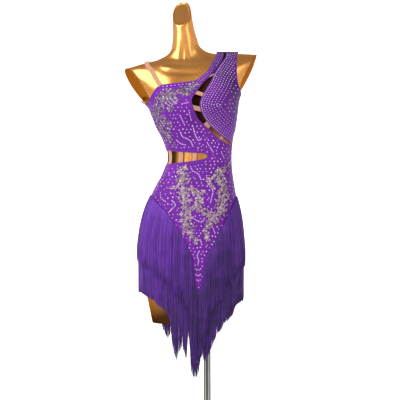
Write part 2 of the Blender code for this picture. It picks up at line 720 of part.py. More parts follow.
def make_form(parts, cutters):
    """The limbless form: closed rings joined in a stack, then cut flat at the arms and neck."""
    gold = material("gold_lacquer", (0.80, 0.50, 0.14), 0.22, 0.9)
    turns = np.linspace(0, 2 * math.pi, RING_POINTS + 1)[:-1]
    vs = np.arange(0, len(FORM_RINGS) - 0.9, 0.5)
    vs = np.concatenate([vs[vs <= len(FORM_RINGS) - len(NECK)], vs[-1] - np.arange(3)[::-1]])
    points = surface(FORM_RINGS, turns[None, :], vs[:, None])
    bm = bmesh.new()
    rings = [[bm.verts.new(point) for point in row] for row in points]
    for low, high in zip(rings, rings[1:]):
        for k in range(RING_POINTS):
            after = (k + 1) % RING_POINTS
            bm.faces.new((low[after], low[k], high[k], high[after]))
    bmesh.ops.triangulate(bm, faces=bm.faces, quad_method="FIXED")
    bm.faces.new(rings[0])
    bm.faces.new(rings[-1][::-1])
    bmesh.ops.recalc_face_normals(bm, faces=bm.faces)
    mesh = bpy.data.meshes.new("form")
    bm.to_mesh(mesh)
    bm.free()
    form = add_object("form", mesh, parts, gold)
    for name, point, direction in FORM_CUTS:
        add_boolean(form, cutting_block(name, point, direction, cutters), "DIFFERENCE")


def add_turned(name, profile, steps, made_of, parts):
    """A turned solid from a profile of radius and height that begins and ends on the axis."""
    bm = bmesh.new()
    verts = [bm.verts.new((radius, 0.0, z)) for radius, z in profile]
    for a, b in zip(verts, verts[1:]):
        bm.edges.new((a, b))
    mesh = bpy.data.meshes.new(name)
    bm.to_mesh(mesh)
    bm.free()
    turned = add_object(name, mesh, parts, made_of, smooth=False)
    screw = turned.modifiers.new("turn", "SCREW")
    screw.steps = steps
    screw.render_steps = steps
    screw.use_merge_vertices = True
    screw.merge_threshold = 0.00001
    screw.use_smooth_shade = True
    return turned


def make_stand(parts):
    chrome = material("chrome", (0.75, 0.75, 0.78), 0.12, 1.0)
    bore = POLE_RADIUS + SEAT_GAP
    form_low = TRUNK[0][0]
    flange_top = form_low - SEAT_GAP
    flange_low = flange_top - FLANGE_THICK
    pole_top = flange_low - SEAT_GAP
    pole_low = PLATE_EDGE + SEAT_GAP
    add_turned("base_plate", (
        (0.0, PLATE_EDGE), (bore, PLATE_EDGE), (bore, BOSS_TOP),
        (BOSS_RADIUS - BOSS_BEVEL, BOSS_TOP), (BOSS_RADIUS, BOSS_TOP - BOSS_BEVEL),
        (BOSS_RADIUS, PLATE_TOP + BOSS_FILLET), (BOSS_RADIUS + BOSS_FILLET, PLATE_TOP),
        (PLATE_RADIUS - PLATE_BEVEL, PLATE_TOP), (PLATE_RADIUS, PLATE_EDGE),
        (PLATE_RADIUS, 0.0), (0.0, 0.0)), PLATE_STEPS, chrome, parts)
    add_turned("pole_flange", (
        (0.0, flange_top), (FLANGE_RADIUS, flange_top), (FLANGE_RADIUS, flange_low),
        (COLLAR_RADIUS, flange_low - COLLAR_FILLET), (COLLAR_RADIUS, COLLAR_LOW),
        (bore, COLLAR_LOW), (bore, flange_low), (0.0, flange_low)), FLANGE_STEPS, chrome, parts)
    bm = bmesh.new()
    bmesh.ops.create_cone(bm, cap_ends=True, segments=POLE_STEPS, radius1=POLE_RADIUS,
                          radius2=POLE_RADIUS, depth=pole_top - pole_low)
    mesh = bpy.data.meshes.new("pole")
    bm.to_mesh(mesh)
    bm.free()
    pole = add_object("pole", mesh, parts, chrome)
    pole.location = (0.0, 0.0, (pole_top + pole_low) / 2)


def make_all():
    for obj in list(bpy.data.objects):
        bpy.data.objects.remove(obj)
    parts = bpy.data.collections.new("latin_dance_dress")
    cutters = bpy.data.collections.new("cutters")
    bpy.context.scene.collection.children.link(parts)
    bpy.context.scene.collection.children.link(cutters)
    make_stand(parts)
    make_form(parts, cutters)
    make_panels(parts, cutters)
    make_lace(parts, cutters)
    make_elastics(parts)
    make_fringe(parts)


make_all()
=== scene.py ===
# %% [markdown]
# # A latin dance dress on a limbless dress form
# This notebook dresses a plain model of a one-shoulder latin dance dress: stretch cloth with a
# side cut-out and a keyhole, nude elastics, cut lace, crystals and two rows of fringe. The plain
# model is loaded first and stays as it is. Each visible piece is then worked out again, finer,
# on the same formulas, so that it lies exactly where the plain one does.

# %% Load the fixed frame
import math

import bmesh
import bpy
import numpy as np
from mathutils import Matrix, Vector


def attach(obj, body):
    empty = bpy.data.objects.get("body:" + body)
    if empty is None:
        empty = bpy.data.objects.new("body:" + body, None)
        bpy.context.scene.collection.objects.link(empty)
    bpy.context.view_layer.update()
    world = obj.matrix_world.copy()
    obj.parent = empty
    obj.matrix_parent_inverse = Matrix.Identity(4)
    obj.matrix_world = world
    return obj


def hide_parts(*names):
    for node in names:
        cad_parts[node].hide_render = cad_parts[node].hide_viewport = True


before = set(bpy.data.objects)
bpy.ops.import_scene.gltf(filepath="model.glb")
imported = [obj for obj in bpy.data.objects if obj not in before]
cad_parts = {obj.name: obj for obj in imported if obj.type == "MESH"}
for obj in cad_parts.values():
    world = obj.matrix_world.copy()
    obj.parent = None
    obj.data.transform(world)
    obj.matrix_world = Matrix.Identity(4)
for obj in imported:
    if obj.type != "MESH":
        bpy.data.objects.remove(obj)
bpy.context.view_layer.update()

# %% [markdown]
# ## Sums on sockets
# A finish is a small machine of nodes. Written node by node it is long and hard to read, so one
# class wraps a socket and lets Python's own signs add the Math nodes, and one method makes any
# other node. Numbers that are the same all over are set on the shader itself.

# %% A class for shader sums
class Wire:
    """An output socket; a sum, difference or product of it adds a Math node and gives a Wire."""

    def __init__(self, finish, socket):
        self.finish, self.socket = finish, socket

    def maths(self, operation, *values):
        settings = {"operation": operation}
        return self.finish.node("ShaderNodeMath", settings, dict(enumerate(values)))

    def __add__(self, other):
        return self.maths("ADD", self, other)

    def __sub__(self, other):
        return self.maths("SUBTRACT", self, other)

    def __rsub__(self, other):
        return self.maths("SUBTRACT", other, self)

    def __mul__(self, other):
        return self.maths("MULTIPLY", self, other)

    __radd__, __rmul__ = __add__, __mul__

    def sine(self):
        return self.maths("SINE", self)


class Finish:
    """A material in the making: node() makes nodes, shader() sets the surface's sockets."""

    def __init__(self, name):
        self.material = bpy.data.materials.new(name)
        self.material.use_nodes = True
        self.nodes = self.material.node_tree.nodes
        self.links = self.material.node_tree.links
        self.surface = self.nodes["Principled BSDF"]

    def plug(self, socket, value):
        if isinstance(value, Wire):
            self.links.new(value.socket, socket)
        elif isinstance(value, (int, float)):
            socket.default_value = value
        else:
            room = len(socket.default_value)
            socket.default_value = (tuple(value) + (1.0,))[:room]

    def node(self, kind, settings=None, values=None, output=0):
        """A node of any kind: its settings go in first, then its values."""
        made = self.nodes.new(kind)
        for key, setting in (settings or {}).items():
            setattr(made, key, setting)
        for key, value in (values or {}).items():
            self.plug(made.inputs[key], value)
        return Wire(self, made.outputs[output])

    def place(self, kind="Object"):
        return self.node("ShaderNodeTexCoord", output=kind)

    def parts(self, vector):
        """The three numbers of a vector, each as a Wire."""
        split = self.node("ShaderNodeSeparateXYZ", values={"Vector": vector}).socket.node
        return [Wire(self, socket) for socket in split.outputs]

    def vector(self, operation, *values, output=0):
        settings = {"operation": operation}
        return self.node("ShaderNodeVectorMath", settings, dict(enumerate(values)), output)

    def stretched(self, vector, scale):
        return self.node("ShaderNodeMapping", values={"Vector": vector, "Scale": scale})

    def noise(self, vector, scale, detail, roughness=0.5):
        values = {"Vector": vector, "Scale": scale, "Detail": detail, "Roughness": roughness}
        return self.node("ShaderNodeTexNoise", values=values)

    def fit(self, value, low, high, to_low=0.0, to_high=1.0):
        """value moved from low..high to to_low..to_high and held between them."""
        values = {0: value, 1: low, 2: high, 3: to_low, 4: to_high}
        return self.node("ShaderNodeMapRange", {"clamp": True}, values)

    def mix(self, share, a, b):
        """Colour a where share is nought, b where it is one."""
        return self.node("ShaderNodeMix", {"data_type": "RGBA"}, {0: share, 6: a, 7: b}, output=2)

    def bump(self, height, distance, strength):
        values = {"Height": height, "Distance": distance, "Strength": strength}
        return self.node("ShaderNodeBump", values=values)

    def shader(self, **sockets):
        for name, value in sockets.items():
            self.plug(self.surface.inputs[name.replace("_", " ")], value)
        return self.material


print("signs:", [sign for sign in dir(Wire) if sign.endswith(("add__", "sub__", "mul__"))])

# %% [markdown]
# ## From arrays to meshes
# Nearly every piece here is a net of points: rows and columns, or the same small net many times
# over. Whole arrays go into the mesh at once, which is many times faster than adding vertices
# one by one, and the net's own rows and columns make the UV map.


def net_faces(rows, columns, close_rows=False, close_columns=False):
    """Corners of each four-sided face of a net, numbered row by row; a closed side joins on."""
    i = np.arange(rows if close_rows else rows - 1)[:, None]
    j = np.arange(columns if close_columns else columns - 1)[None, :]
    i2, j2 = (i + 1) % rows, (j + 1) % columns
    corners = [i * columns + j, i * columns + j2, i2 * columns + j2, i2 * columns + j]
    return np.stack(np.broadcast_arrays(*corners), axis=-1).reshape(-1, 4)


def many(faces, copies):
    """The faces of one small net repeated for each of its copies."""
    first = np.arange(copies)[:, None, None] * (faces.max() + 1)
    return (faces[None] + first).reshape(-1, faces.shape[1])


def new_mesh(name, points, loops, starts, uv=None, smooth=True):
    """A mesh object from flat arrays: points, the corners of all faces in a row, their starts."""
    mesh = bpy.data.meshes.new(name)
    mesh.vertices.add(len(points))
    mesh.vertices.foreach_set("co", np.ascontiguousarray(points, np.float32).ravel())
    mesh.loops.add(len(loops))
    mesh.loops.foreach_set("vertex_index", np.ascontiguousarray(loops, np.int32))
    mesh.polygons.add(len(starts))
    mesh.polygons.foreach_set("loop_start", np.ascontiguousarray(starts, np.int32))
    if uv is not None:
        layer = mesh.uv_layers.new(name="UVMap")
        layer.data.foreach_set("uv", np.ascontiguousarray(uv[loops], np.float32).ravel())
    mesh.polygons.foreach_set("use_smooth", np.full(len(starts), smooth))
    mesh.update(calc_edges=True)
    mesh.validate()
    obj = bpy.data.objects.new(name, mesh)
    bpy.context.scene.collection.objects.link(obj)
    return obj


def add_piece(name, obj, finish, replaced=()):
    """Give a mesh object its finish, its slot and its body, and hide the parts it replaces."""
    obj.data.materials.clear()
    obj.data.materials.append(finish)
    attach(obj, "root")
    if replaced:
        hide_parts(*replaced)
    obj.data.calc_loop_triangles()
    print(f"{name}: {len(obj.data.loop_triangles)} triangles")
    return obj


def circle(count):
    """Even angles once round."""
    return np.linspace(0, math.tau, count, endpoint=False)


def give_wall(obj, thickness, offset):
    wall = obj.modifiers.new("wall", "SOLIDIFY")
    wall.thickness, wall.offset = thickness, offset
    return wall


def net_piece(name, points, faces, finish, slot, uv=None, replaced=(), smooth=True):
    """A piece from a net of any number of axes; its UV may be one wide along any of them."""
    flat = points.reshape(-1, 3)
    sides = faces.shape[1]
    uv = None if uv is None else np.broadcast_to(uv, points.shape[:-1] + (2,)).reshape(-1, 2)
    starts = np.arange(len(faces)) * sides
    obj = new_mesh(name, flat, faces.ravel(), starts, uv, smooth)
    return add_piece(name, obj, finish, replaced)


print("a 3 by 3 net has", len(net_faces(3, 3)), "faces")

# %% [markdown]
# ## The figure as a stack of rings
# A dress form is carved or cast from a real figure. It could be sculpted or scanned, but a dress
# is easier to fit when a place on the body has an address. So the figure is a stack of closed
# rings, and a place is its turn round the ring and v, the number of rings below it. The cloth,
# the lace, every crystal and each thread of the fringe use the same two numbers.

# %% The rings
TRUNK = (  # z, x_left, x_right, y_front, y_back
    (0.590, -0.166, 0.048, -0.080, 0.082),
    (0.663, -0.181, 0.097, -0.092, 0.098),
    (0.742, -0.194, 0.101, -0.099, 0.113),
    (0.821, -0.199, 0.102, -0.101, 0.122),
    (0.899, -0.189, 0.096, -0.103, 0.110),
    (0.975, -0.167, 0.085, -0.097, 0.086),
    (1.039, -0.134, 0.075, -0.087, 0.067),
    (1.090, -0.119, 0.072, -0.081, 0.062),
    (1.142, -0.133, 0.076, -0.083, 0.069),
    (1.176, -0.151, 0.084, -0.088, 0.077),
    (1.210, -0.165, 0.089, -0.092, 0.083),
)
# The chest and shoulder rings lean, because the two arm stumps sit at unlike heights.
SHOULDERS = (  # x_left, z_left, x_right, z_right, y_front, z_front, y_back, z_back
    (-0.178, 1.240, 0.098, 1.270, -0.096, 1.250, 0.086, 1.250),
    (-0.201, 1.262, 0.117, 1.306, -0.094, 1.277, 0.085, 1.278),
    (-0.228, 1.287, 0.138, 1.339, -0.090, 1.302, 0.083, 1.305),
    (-0.257, 1.316, 0.157, 1.368, -0.084, 1.324, 0.080, 1.330),
    (-0.267, 1.339, 0.165, 1.389, -0.077, 1.340, 0.076, 1.349),
    (-0.254, 1.353, 0.153, 1.399, -0.069, 1.354, 0.072, 1.365),
    (-0.208, 1.368, 0.100, 1.403, -0.059, 1.370, 0.066, 1.382),
    (-0.154, 1.382, 0.020, 1.404, -0.049, 1.386, 0.056, 1.398),
    (-0.115, 1.406, -0.017, 1.420, -0.042, 1.413, 0.049, 1.421),
)
NECK = (  # z, x_left, x_right, y_front, y_back
    (1.448, -0.105, -0.030, -0.040, 0.045),
    (1.490, -0.105, -0.041, -0.040, 0.042),
    (1.545, -0.104, -0.050, -0.037, 0.038),
    (1.600, -0.100, -0.058, -0.032, 0.035),
)
X_LEFT, Z_LEFT, X_RIGHT, Z_RIGHT, Y_FRONT, Z_FRONT, Y_BACK, Z_BACK = range(8)
WAIST_RING = 7
SQUARENESS = 0.09


def level_ring(row):
    z, x_left, x_right, y_front, y_back = row
    return (x_left, z, x_right, z, y_front, z, y_back, z)


def hanging(rings):
    """The same rings, where each below the waist reaches at least as far out as the one above."""
    hung = rings.copy()
    for columns, furthest in (((X_LEFT, Y_FRONT), np.minimum), ((X_RIGHT, Y_BACK), np.maximum)):
        for column in columns:
            fall = furthest.accumulate(rings[WAIST_RING::-1, column])
            hung[:WAIST_RING + 1, column] = fall[::-1]
    return hung


FORM_RINGS = np.array([*map(level_ring, TRUNK), *SHOULDERS, *map(level_ring, NECK)])
CLOTH_RINGS = hanging(FORM_RINGS)
print(len(FORM_RINGS), "rings from", FORM_RINGS[0, Z_LEFT], "to", FORM_RINGS[-1, Z_LEFT])

# %% The surface of the figure and of the cloth
CUP_LIFT, CUP_Z, CUP_LEFT_X, CUP_RIGHT_X = 0.040, 1.243, -0.124, 0.046
CUP_WIDE, CUP_ABOVE, CUP_BELOW, CUP_SPAN_DIP = 0.060, 0.058, 0.046, 0.14
CLOTH_CLEAR = 0.0008
CLOTH_WALL = 0.0015
FRONT = math.pi / 2


def ring_at(rings, v):
    """A ring between two others, by a smooth cubic through the four nearest."""
    v = np.clip(v, 0.0, len(rings) - 1.0001)
    whole = np.floor(v).astype(int)
    t = (v - whole)[..., None]
    a, b = rings[np.maximum(whole - 1, 0)], rings[whole]
    c, d = rings[whole + 1], rings[np.minimum(whole + 2, len(rings) - 1)]
    bend = (2 * a - 5 * b + 4 * c - d) * t**2 + (3 * b - a - 3 * c + d) * t**3
    return b + 0.5 * ((c - a) * t + bend)


def cup_depth(x, z, spanned):
    """Two bells over the cups; where cloth spans them, a shallow sine joins their tops."""
    height = np.exp(-(((z - CUP_Z) / np.where(z > CUP_Z, CUP_ABOVE, CUP_BELOW)) ** 2))
    bells = sum(np.exp(-(((x - cup) / CUP_WIDE) ** 2)) for cup in (CUP_LEFT_X, CUP_RIGHT_X))
    if spanned:
        across = np.clip((x - CUP_LEFT_X) / (CUP_RIGHT_X - CUP_LEFT_X), 0.0, 1.0)
        between = (across > 0.0) & (across < 1.0)
        bells = np.where(between, 1.0 - CUP_SPAN_DIP * np.sin(math.pi * across), bells)
    return CUP_LIFT * height * bells


def figure(rings, turn, v, spanned=False):
    """Ovals that may lean: x by the cosine of turn and y by its sine, both squared a little, and
    z from the sides' height to the middle's by the sine squared; then the cups push forward."""
    turn, v = np.broadcast_arrays(np.asarray(turn, float), np.asarray(v, float))
    ring = ring_at(rings, v)
    along, ahead = np.cos(turn), np.sin(turn)
    half_width = (ring[..., X_RIGHT] - ring[..., X_LEFT]) / 2
    x = (ring[..., X_RIGHT] + ring[..., X_LEFT]) / 2
    x = x + half_width * along * (1 + SQUARENESS * ahead**2)
    in_front = ahead > 0
    depth = np.where(in_front, -ring[..., Y_FRONT], ring[..., Y_BACK])
    y = -depth * ahead * (1 + SQUARENESS * along**2)
    side_z = (ring[..., Z_RIGHT] + ring[..., Z_LEFT]) / 2
    side_z = side_z + (ring[..., Z_RIGHT] - ring[..., Z_LEFT]) / 2 * along
    middle_z = np.where(in_front, ring[..., Z_FRONT], ring[..., Z_BACK])
    z = side_z + (middle_z - side_z) * ahead**2
    y = y - np.where(in_front, cup_depth(x, z, spanned) * ahead**2, 0.0)
    return np.stack([x, y, z], axis=-1)


def unit(vectors):
    return vectors / np.maximum(np.linalg.norm(vectors, axis=-1, keepdims=True), 1e-12)


def steepness(turn, v):
    """How far the cloth moves for a step of turn and of v, from points a hair to each side."""
    step = 1e-3
    by_turn = figure(CLOTH_RINGS, turn + step, v, True) - figure(CLOTH_RINGS, turn - step, v, True)
    by_v = figure(CLOTH_RINGS, turn, v + step, True) - figure(CLOTH_RINGS, turn, v - step, True)
    return by_turn / (2 * step), by_v / (2 * step)


def outward(turn, v):
    by_turn, by_v = steepness(turn, v)
    return unit(np.cross(by_v, by_turn))


def cloth(turn, v, off=0.0):
    """The dress's inner face moved out by off along the surface's own direction."""
    turn, v = np.broadcast_arrays(np.asarray(turn, float), np.asarray(v, float))
    lift = CLOTH_CLEAR + np.asarray(off, float)
    return figure(CLOTH_RINGS, turn, v, True) + outward(turn, v) * lift[..., None]


print("bust at", np.round(cloth(FRONT, 11.0), 3), "hip at", np.round(cloth(FRONT, 3.0), 3))

# %% Finding the address of a place
HIGHEST_V = 21.0


def find(x, z, front=True):
    """turn and v of the places seen at x, z from the front: the nearest point of a coarse net,
    then damped Newton steps, each solving the two by two system of the surface's steepness."""
    x, z = np.broadcast_arrays(np.asarray(x, float), np.asarray(z, float))
    start = 0.0 if front else math.pi
    turns, vs = np.meshgrid(start + np.linspace(0.02, math.pi - 0.02, 60), np.linspace(0, 20, 81))
    seen = cloth(turns, vs)
    seen_x, seen_z = seen[..., 0].ravel(), seen[..., 2].ravel()
    flat_x, flat_z = x.ravel(), z.ravel()
    nearest = np.concatenate([
        np.argmin((seen_x - some_x[:, None]) ** 2 + (seen_z - some_z[:, None]) ** 2, axis=1)
        for some_x, some_z in zip(
            np.array_split(flat_x, len(flat_x) // 1500 + 1),
            np.array_split(flat_z, len(flat_z) // 1500 + 1))])
    turn, v = turns.ravel()[nearest], vs.ravel()[nearest]
    for _ in range(10):
        here = cloth(turn, v)
        miss_x, miss_z = flat_x - here[:, 0], flat_z - here[:, 2]
        by_turn, by_v = steepness(turn, v)
        a, b, c, d = by_turn[:, 0], by_v[:, 0], by_turn[:, 2], by_v[:, 2]
        damp = 1e-6
        tt, tv, vv = a * a + c * c + damp, a * b + c * d, b * b + d * d + damp
        rt, rv = a * miss_x + c * miss_z, b * miss_x + d * miss_z
        whole = tt * vv - tv * tv
        step_turn = np.clip((rt * vv - rv * tv) / whole, -0.1, 0.1)
        step_v = np.clip((rv * tt - rt * tv) / whole, -0.3, 0.3)
        turn = np.clip(turn + step_turn, start, start + math.pi)
        v = np.clip(v + step_v, 0.0, HIGHEST_V)
    return turn.reshape(x.shape), v.reshape(x.shape)


def v_of_height(z):
    """v on the level rings below the chest, where a height has one v all round."""
    vs = np.linspace(0, len(TRUNK) - 1, 801)
    return np.interp(z, ring_at(CLOTH_RINGS[:len(TRUNK), Z_LEFT][:, None], vs)[:, 0], vs)


probe = find([0.0, -0.1], [1.0, 1.2])
print("found again to", np.abs(cloth(*probe)[:, [0, 2]] - [[0, 1.0], [-0.1, 1.2]]).max(), "m")

# %% [markdown]
# ## Gold lacquer, chrome and their reflections
# The form is a hollow shell sprayed with a lacquer of gold flakes under a clear coat. A single
# colour would look like paper, so flakes, brush clouds and a fine orange peel vary the colour,
# the roughness and the slope. Shade is painted on the form in the cut-outs, under the fringe and
# on the sawn faces. The stand is chromed steel, a mirror with faint drawing marks, with dark
# reflections painted down its pole.

# %% Metal finishes
def gold_lacquer():
    """Flakes under a clear coat. The form's own attribute of painted shade marks where shade and
    shadow are painted on: there the shell is painted dark brown and dull, without its coat."""
    f = Finish("gold_lacquer")
    place = f.place()
    cloud = f.fit(f.noise(place, 7.0, 4.0, 0.6), 0.35, 0.68)
    flake = f.fit(f.noise(place, 1400.0, 1.0), 0.40, 0.62)
    peel = f.noise(place, 130.0, 2.0)
    painted_shade = f.node("ShaderNodeAttribute", {"attribute_name": "painted_shade"}, output="Fac")
    colour = f.mix(cloud, (0.70, 0.270, 0.048), (0.84, 0.41, 0.115))
    colour = f.mix(flake * 0.12, colour, (0.88, 0.52, 0.17))
    # Painted shade and shadow: near black-brown where the form's attribute of painted shade is
    # high.
    colour = f.mix(painted_shade, colour, (0.020, 0.008, 0.003))
    return f.shader(
        Base_Color=colour, Metallic=1.0,
        Roughness=f.fit(cloud + flake * 0.3, 0.0, 1.3, 0.30, 0.22) + painted_shade * 0.30,
        Coat_Weight=f.fit(painted_shade, 0.0, 0.4, 0.55, 0.0), Coat_Roughness=0.12,
        Specular_Tint=(0.55, 0.26, 0.09, 1.0), Normal=f.bump(peel, 0.0004, 0.12))


# The pole's painted reflections: squares of lengths in metres, each where it begins and
# where it ends.
POLE_END, PAINTED_FLANK_SHARE, PAINTED_FLANK_FADE = (0.00012, 0.00016), 0.75, (0.0, 0.00003)
PAINTED_LINE_X, PAINTED_LINE_FADE = -0.0006, (0.0000020, 0.0000080)


def chrome():
    """Drawn steel under chrome, with reflections painted on. Near the axis, which is on the pole
    alone, its two flanks and a line down its middle are painted dark, as reflections of dark
    surroundings: the flanks where the square of x passes three quarters of the square of y, the
    line where the square of the distance from it is small."""
    f = Finish("chrome")
    place = f.place()
    drawn = f.noise(f.stretched(place, (420.0, 420.0, 6.0)), 1.0, 3.0)
    x, y, _ = f.parts(place)
    on_pole = f.fit(x * x + y * y, *POLE_END, 1.0, 0.0)
    painted_dark_flank = f.fit(x * x - y * y * PAINTED_FLANK_SHARE, *PAINTED_FLANK_FADE) * on_pole
    line = f.fit((x - PAINTED_LINE_X) * (x - PAINTED_LINE_X), *PAINTED_LINE_FADE, 1.0, 0.0) * on_pole
    cloud = f.fit(f.noise(place, 14.0, 3.0), 0.3, 0.7)
    colour = f.mix(cloud, (0.40, 0.39, 0.38), (0.52, 0.50, 0.48))
    # Painted reflection: the flanks and the line are painted near black, less metallic and rougher.
    colour = f.mix(painted_dark_flank + line, colour, (0.018, 0.017, 0.016))
    return f.shader(
        Base_Color=colour, Metallic=1 - painted_dark_flank * 0.9,
        Roughness=f.fit(drawn, 0.35, 0.7, 0.05, 0.14) + painted_dark_flank * 0.3,
        Normal=f.bump(drawn, 0.0002, 0.12))


GOLD, CHROME = gold_lacquer(), chrome()
print("metals:", GOLD.name, CHROME.name)

# %% [markdown]
# ## The form
# The stack of rings gives the whole body, arms and neck included. A real form is sawn flat at
# the arms and neck and its edges are sanded round. A Boolean would saw it, but leaves slivers
# along the edge; here every point past the saw's plane is pushed straight back onto it, with a
# soft maximum at the corner, so the net stays even and closed. The cords of the neck and the
# collar bones are soft ridges on top of it, by the same formula as the creases in the cloth.

# %% Soft ridges
TROUGH_SHARE, TROUGH_AWAY, QUICK_RISE, ROUND_ENDS = 0.30, 1.7, 0.8, 1.3


def crease_height(creases, x, z):
    """For each crease: a bell across its bent line, less a smaller bell beside it, times a sine
    along it that rises quickly at one end and fades at the other; all are added up."""
    total = np.zeros(np.broadcast(x, z).shape)
    for x0, z0, x1, z1, bow, width, height in creases:
        length = math.hypot(x1 - x0, z1 - z0)
        ex, ez = (x1 - x0) / length, (z1 - z0) / length
        share = ((x - x0) * ex + (z - z0) * ez) / length
        held = np.clip(share, 0.0, 1.0)
        away = (x - x0) * -ez + (z - z0) * ex - bow * 4 * held * (1 - held)
        bell = np.exp(-((away / width) ** 2))
        trough = np.exp(-(((away - TROUGH_AWAY * width) / width) ** 2))
        along = np.sin(math.pi * held**QUICK_RISE) ** ROUND_ENDS
        total = total + height * along * (bell - TROUGH_SHARE * trough)
    return total


THROAT = (  # the cords of the neck, the collar bones and the dip between them
    (-0.0900, 1.450, -0.0840, 1.344, 0.001, 0.0085, 0.0014),
    (-0.0640, 1.420, -0.0665, 1.346, 0.000, 0.0055, 0.0013),
    (-0.0560, 1.440, -0.0450, 1.342, -0.001, 0.0070, 0.0014),
    (-0.0780, 1.348, -0.1500, 1.366, 0.003, 0.0080, 0.0030),
    (-0.1150, 1.344, -0.0080, 1.346, -0.008, 0.0080, -0.0026),
)
print(len(THROAT), "ridges and one dip on the throat")

# %% The form's net, pushed back to the saw cuts
FORM_CUTS = (  # point on the cut, direction that is sawn away, way back, lowest height
    ((-0.213, 0.0, 1.297), (-0.818, -0.259, -0.514), (-0.818, -0.259, -0.514), 1.222),
    ((0.126, 0.0, 1.345), (0.906, -0.105, -0.411), (0.906, -0.105, -0.411), 1.262),
    ((-0.075, 0.0, 1.525), (-0.220, -0.745, 0.630), (0.0, 0.0, 1.0), 1.430),
)
SANDED = 0.0028
DOME_RADIUS, DOME_RISE, DOME_REACH_SQUARED = 0.40, 0.0038, 0.007
PUSH_BEFORE, PUSH_OVER, LOW_RAMP = 0.02, 0.012, 0.02


def sawn(points):
    """Past each cut the points go back, straight onto an arm's cut and down the neck onto its
    own, by the soft plus of their overshoot: half the sum of the overshoot and the root of its
    square plus the sanding radius squared. The cut itself is a shallow dome, so the overshoot
    grows with the square of the way out."""
    for middle, direction, way, low in FORM_CUTS:
        away = np.array(direction) / np.linalg.norm(direction)
        back_along = np.array(way) / (np.array(way) @ away)
        reach = points - np.array(middle)
        along = reach @ away
        sideways = np.maximum((reach**2).sum(-1) - along**2, 0.0)
        past = along + np.minimum(sideways, DOME_REACH_SQUARED) / (2 * DOME_RADIUS) - DOME_RISE
        back = (past + np.sqrt(past**2 + SANDED**2)) / 2
        back = back * np.clip((past + PUSH_BEFORE) / PUSH_OVER, 0.0, 1.0)
        ramp = np.clip((points[..., 2] - low) / LOW_RAMP, 0.0, 1.0)
        points = points - (back * ramp * ramp * (3 - 2 * ramp))[..., None] * back_along
    return points


def make_form(turn_count=180, row_step=0.125, cap_rows=7):
    """The figure over all turns and rings; at each end rows shrink to the middle of the last."""
    turns = -circle(turn_count)
    rows = np.arange(0, len(FORM_RINGS) - 1 + row_step, row_step)
    body = figure(FORM_RINGS, turns[None, :], rows[:, None])
    in_front = np.clip(np.sin(turns) * 4, 0.0, 1.0)[None, :]
    body[..., 1] -= crease_height(THROAT, body[..., 0], body[..., 2]) * in_front
    share = np.linspace(0, 1, cap_rows + 1)[:-1, None, None]
    floor, roof = body[:1].mean(axis=1, keepdims=True), body[-1:].mean(axis=1, keepdims=True)
    under = floor + (body[:1] - floor) * np.maximum(share, 0.002)
    over = roof + (body[-1:] - roof) * np.maximum(share[::-1], 0.002)
    net = sawn(np.concatenate([under, body, over]))
    form = net_piece("form_shell", net, net_faces(*net.shape[:2], close_columns=True), GOLD,
                     "gold_lacquer", replaced=["form"])
    sanded = form.modifiers.new("bottom_edge", "BEVEL")
    sanded.width, sanded.segments = 0.002, 2
    sanded.limit_method, sanded.angle_limit = "ANGLE", 1.0
    return form


form_shell = make_form()

# %% [markdown]
# ## The stand
# Turned metal: a round base plate with a raised boss, a tube, and the flange that carries the
# form. Turned parts are drawn as half an outline and swept round the axis. The corners that a
# lathe breaks are drawn with a short slope, so they catch a thin line of light.

# %% The turned pieces
PLATE_RADIUS, PLATE_EDGE, PLATE_TOP = 0.170, 0.004, 0.008
POLE_RADIUS, BOSS_RADIUS, BOSS_TOP = 0.0105, 0.021, 0.032
FLANGE_RADIUS, FLANGE_THICK, COLLAR_RADIUS, COLLAR_LOW = 0.038, 0.005, 0.018, 0.560
SEAT_GAP = 0.0003
BREAK = 0.0008


def swept(radius, height, steps):
    """A profile of radius and height swept round Z; the radius goes to the sine and cosine."""
    turn = circle(steps)[None, :]
    x, y = radius[:, None] * np.cos(turn), radius[:, None] * np.sin(turn)
    net = np.stack([x, y, np.broadcast_to(height[:, None], x.shape)], axis=-1)
    return net, net_faces(len(radius), steps, close_columns=True)


def turned(name, profile, steps, node):
    net, faces = swept(*np.array(profile).T, steps)
    piece = net_piece(name, net, faces, CHROME, "chrome", replaced=[node])
    piece.data.set_sharp_from_angle(angle=math.radians(28))


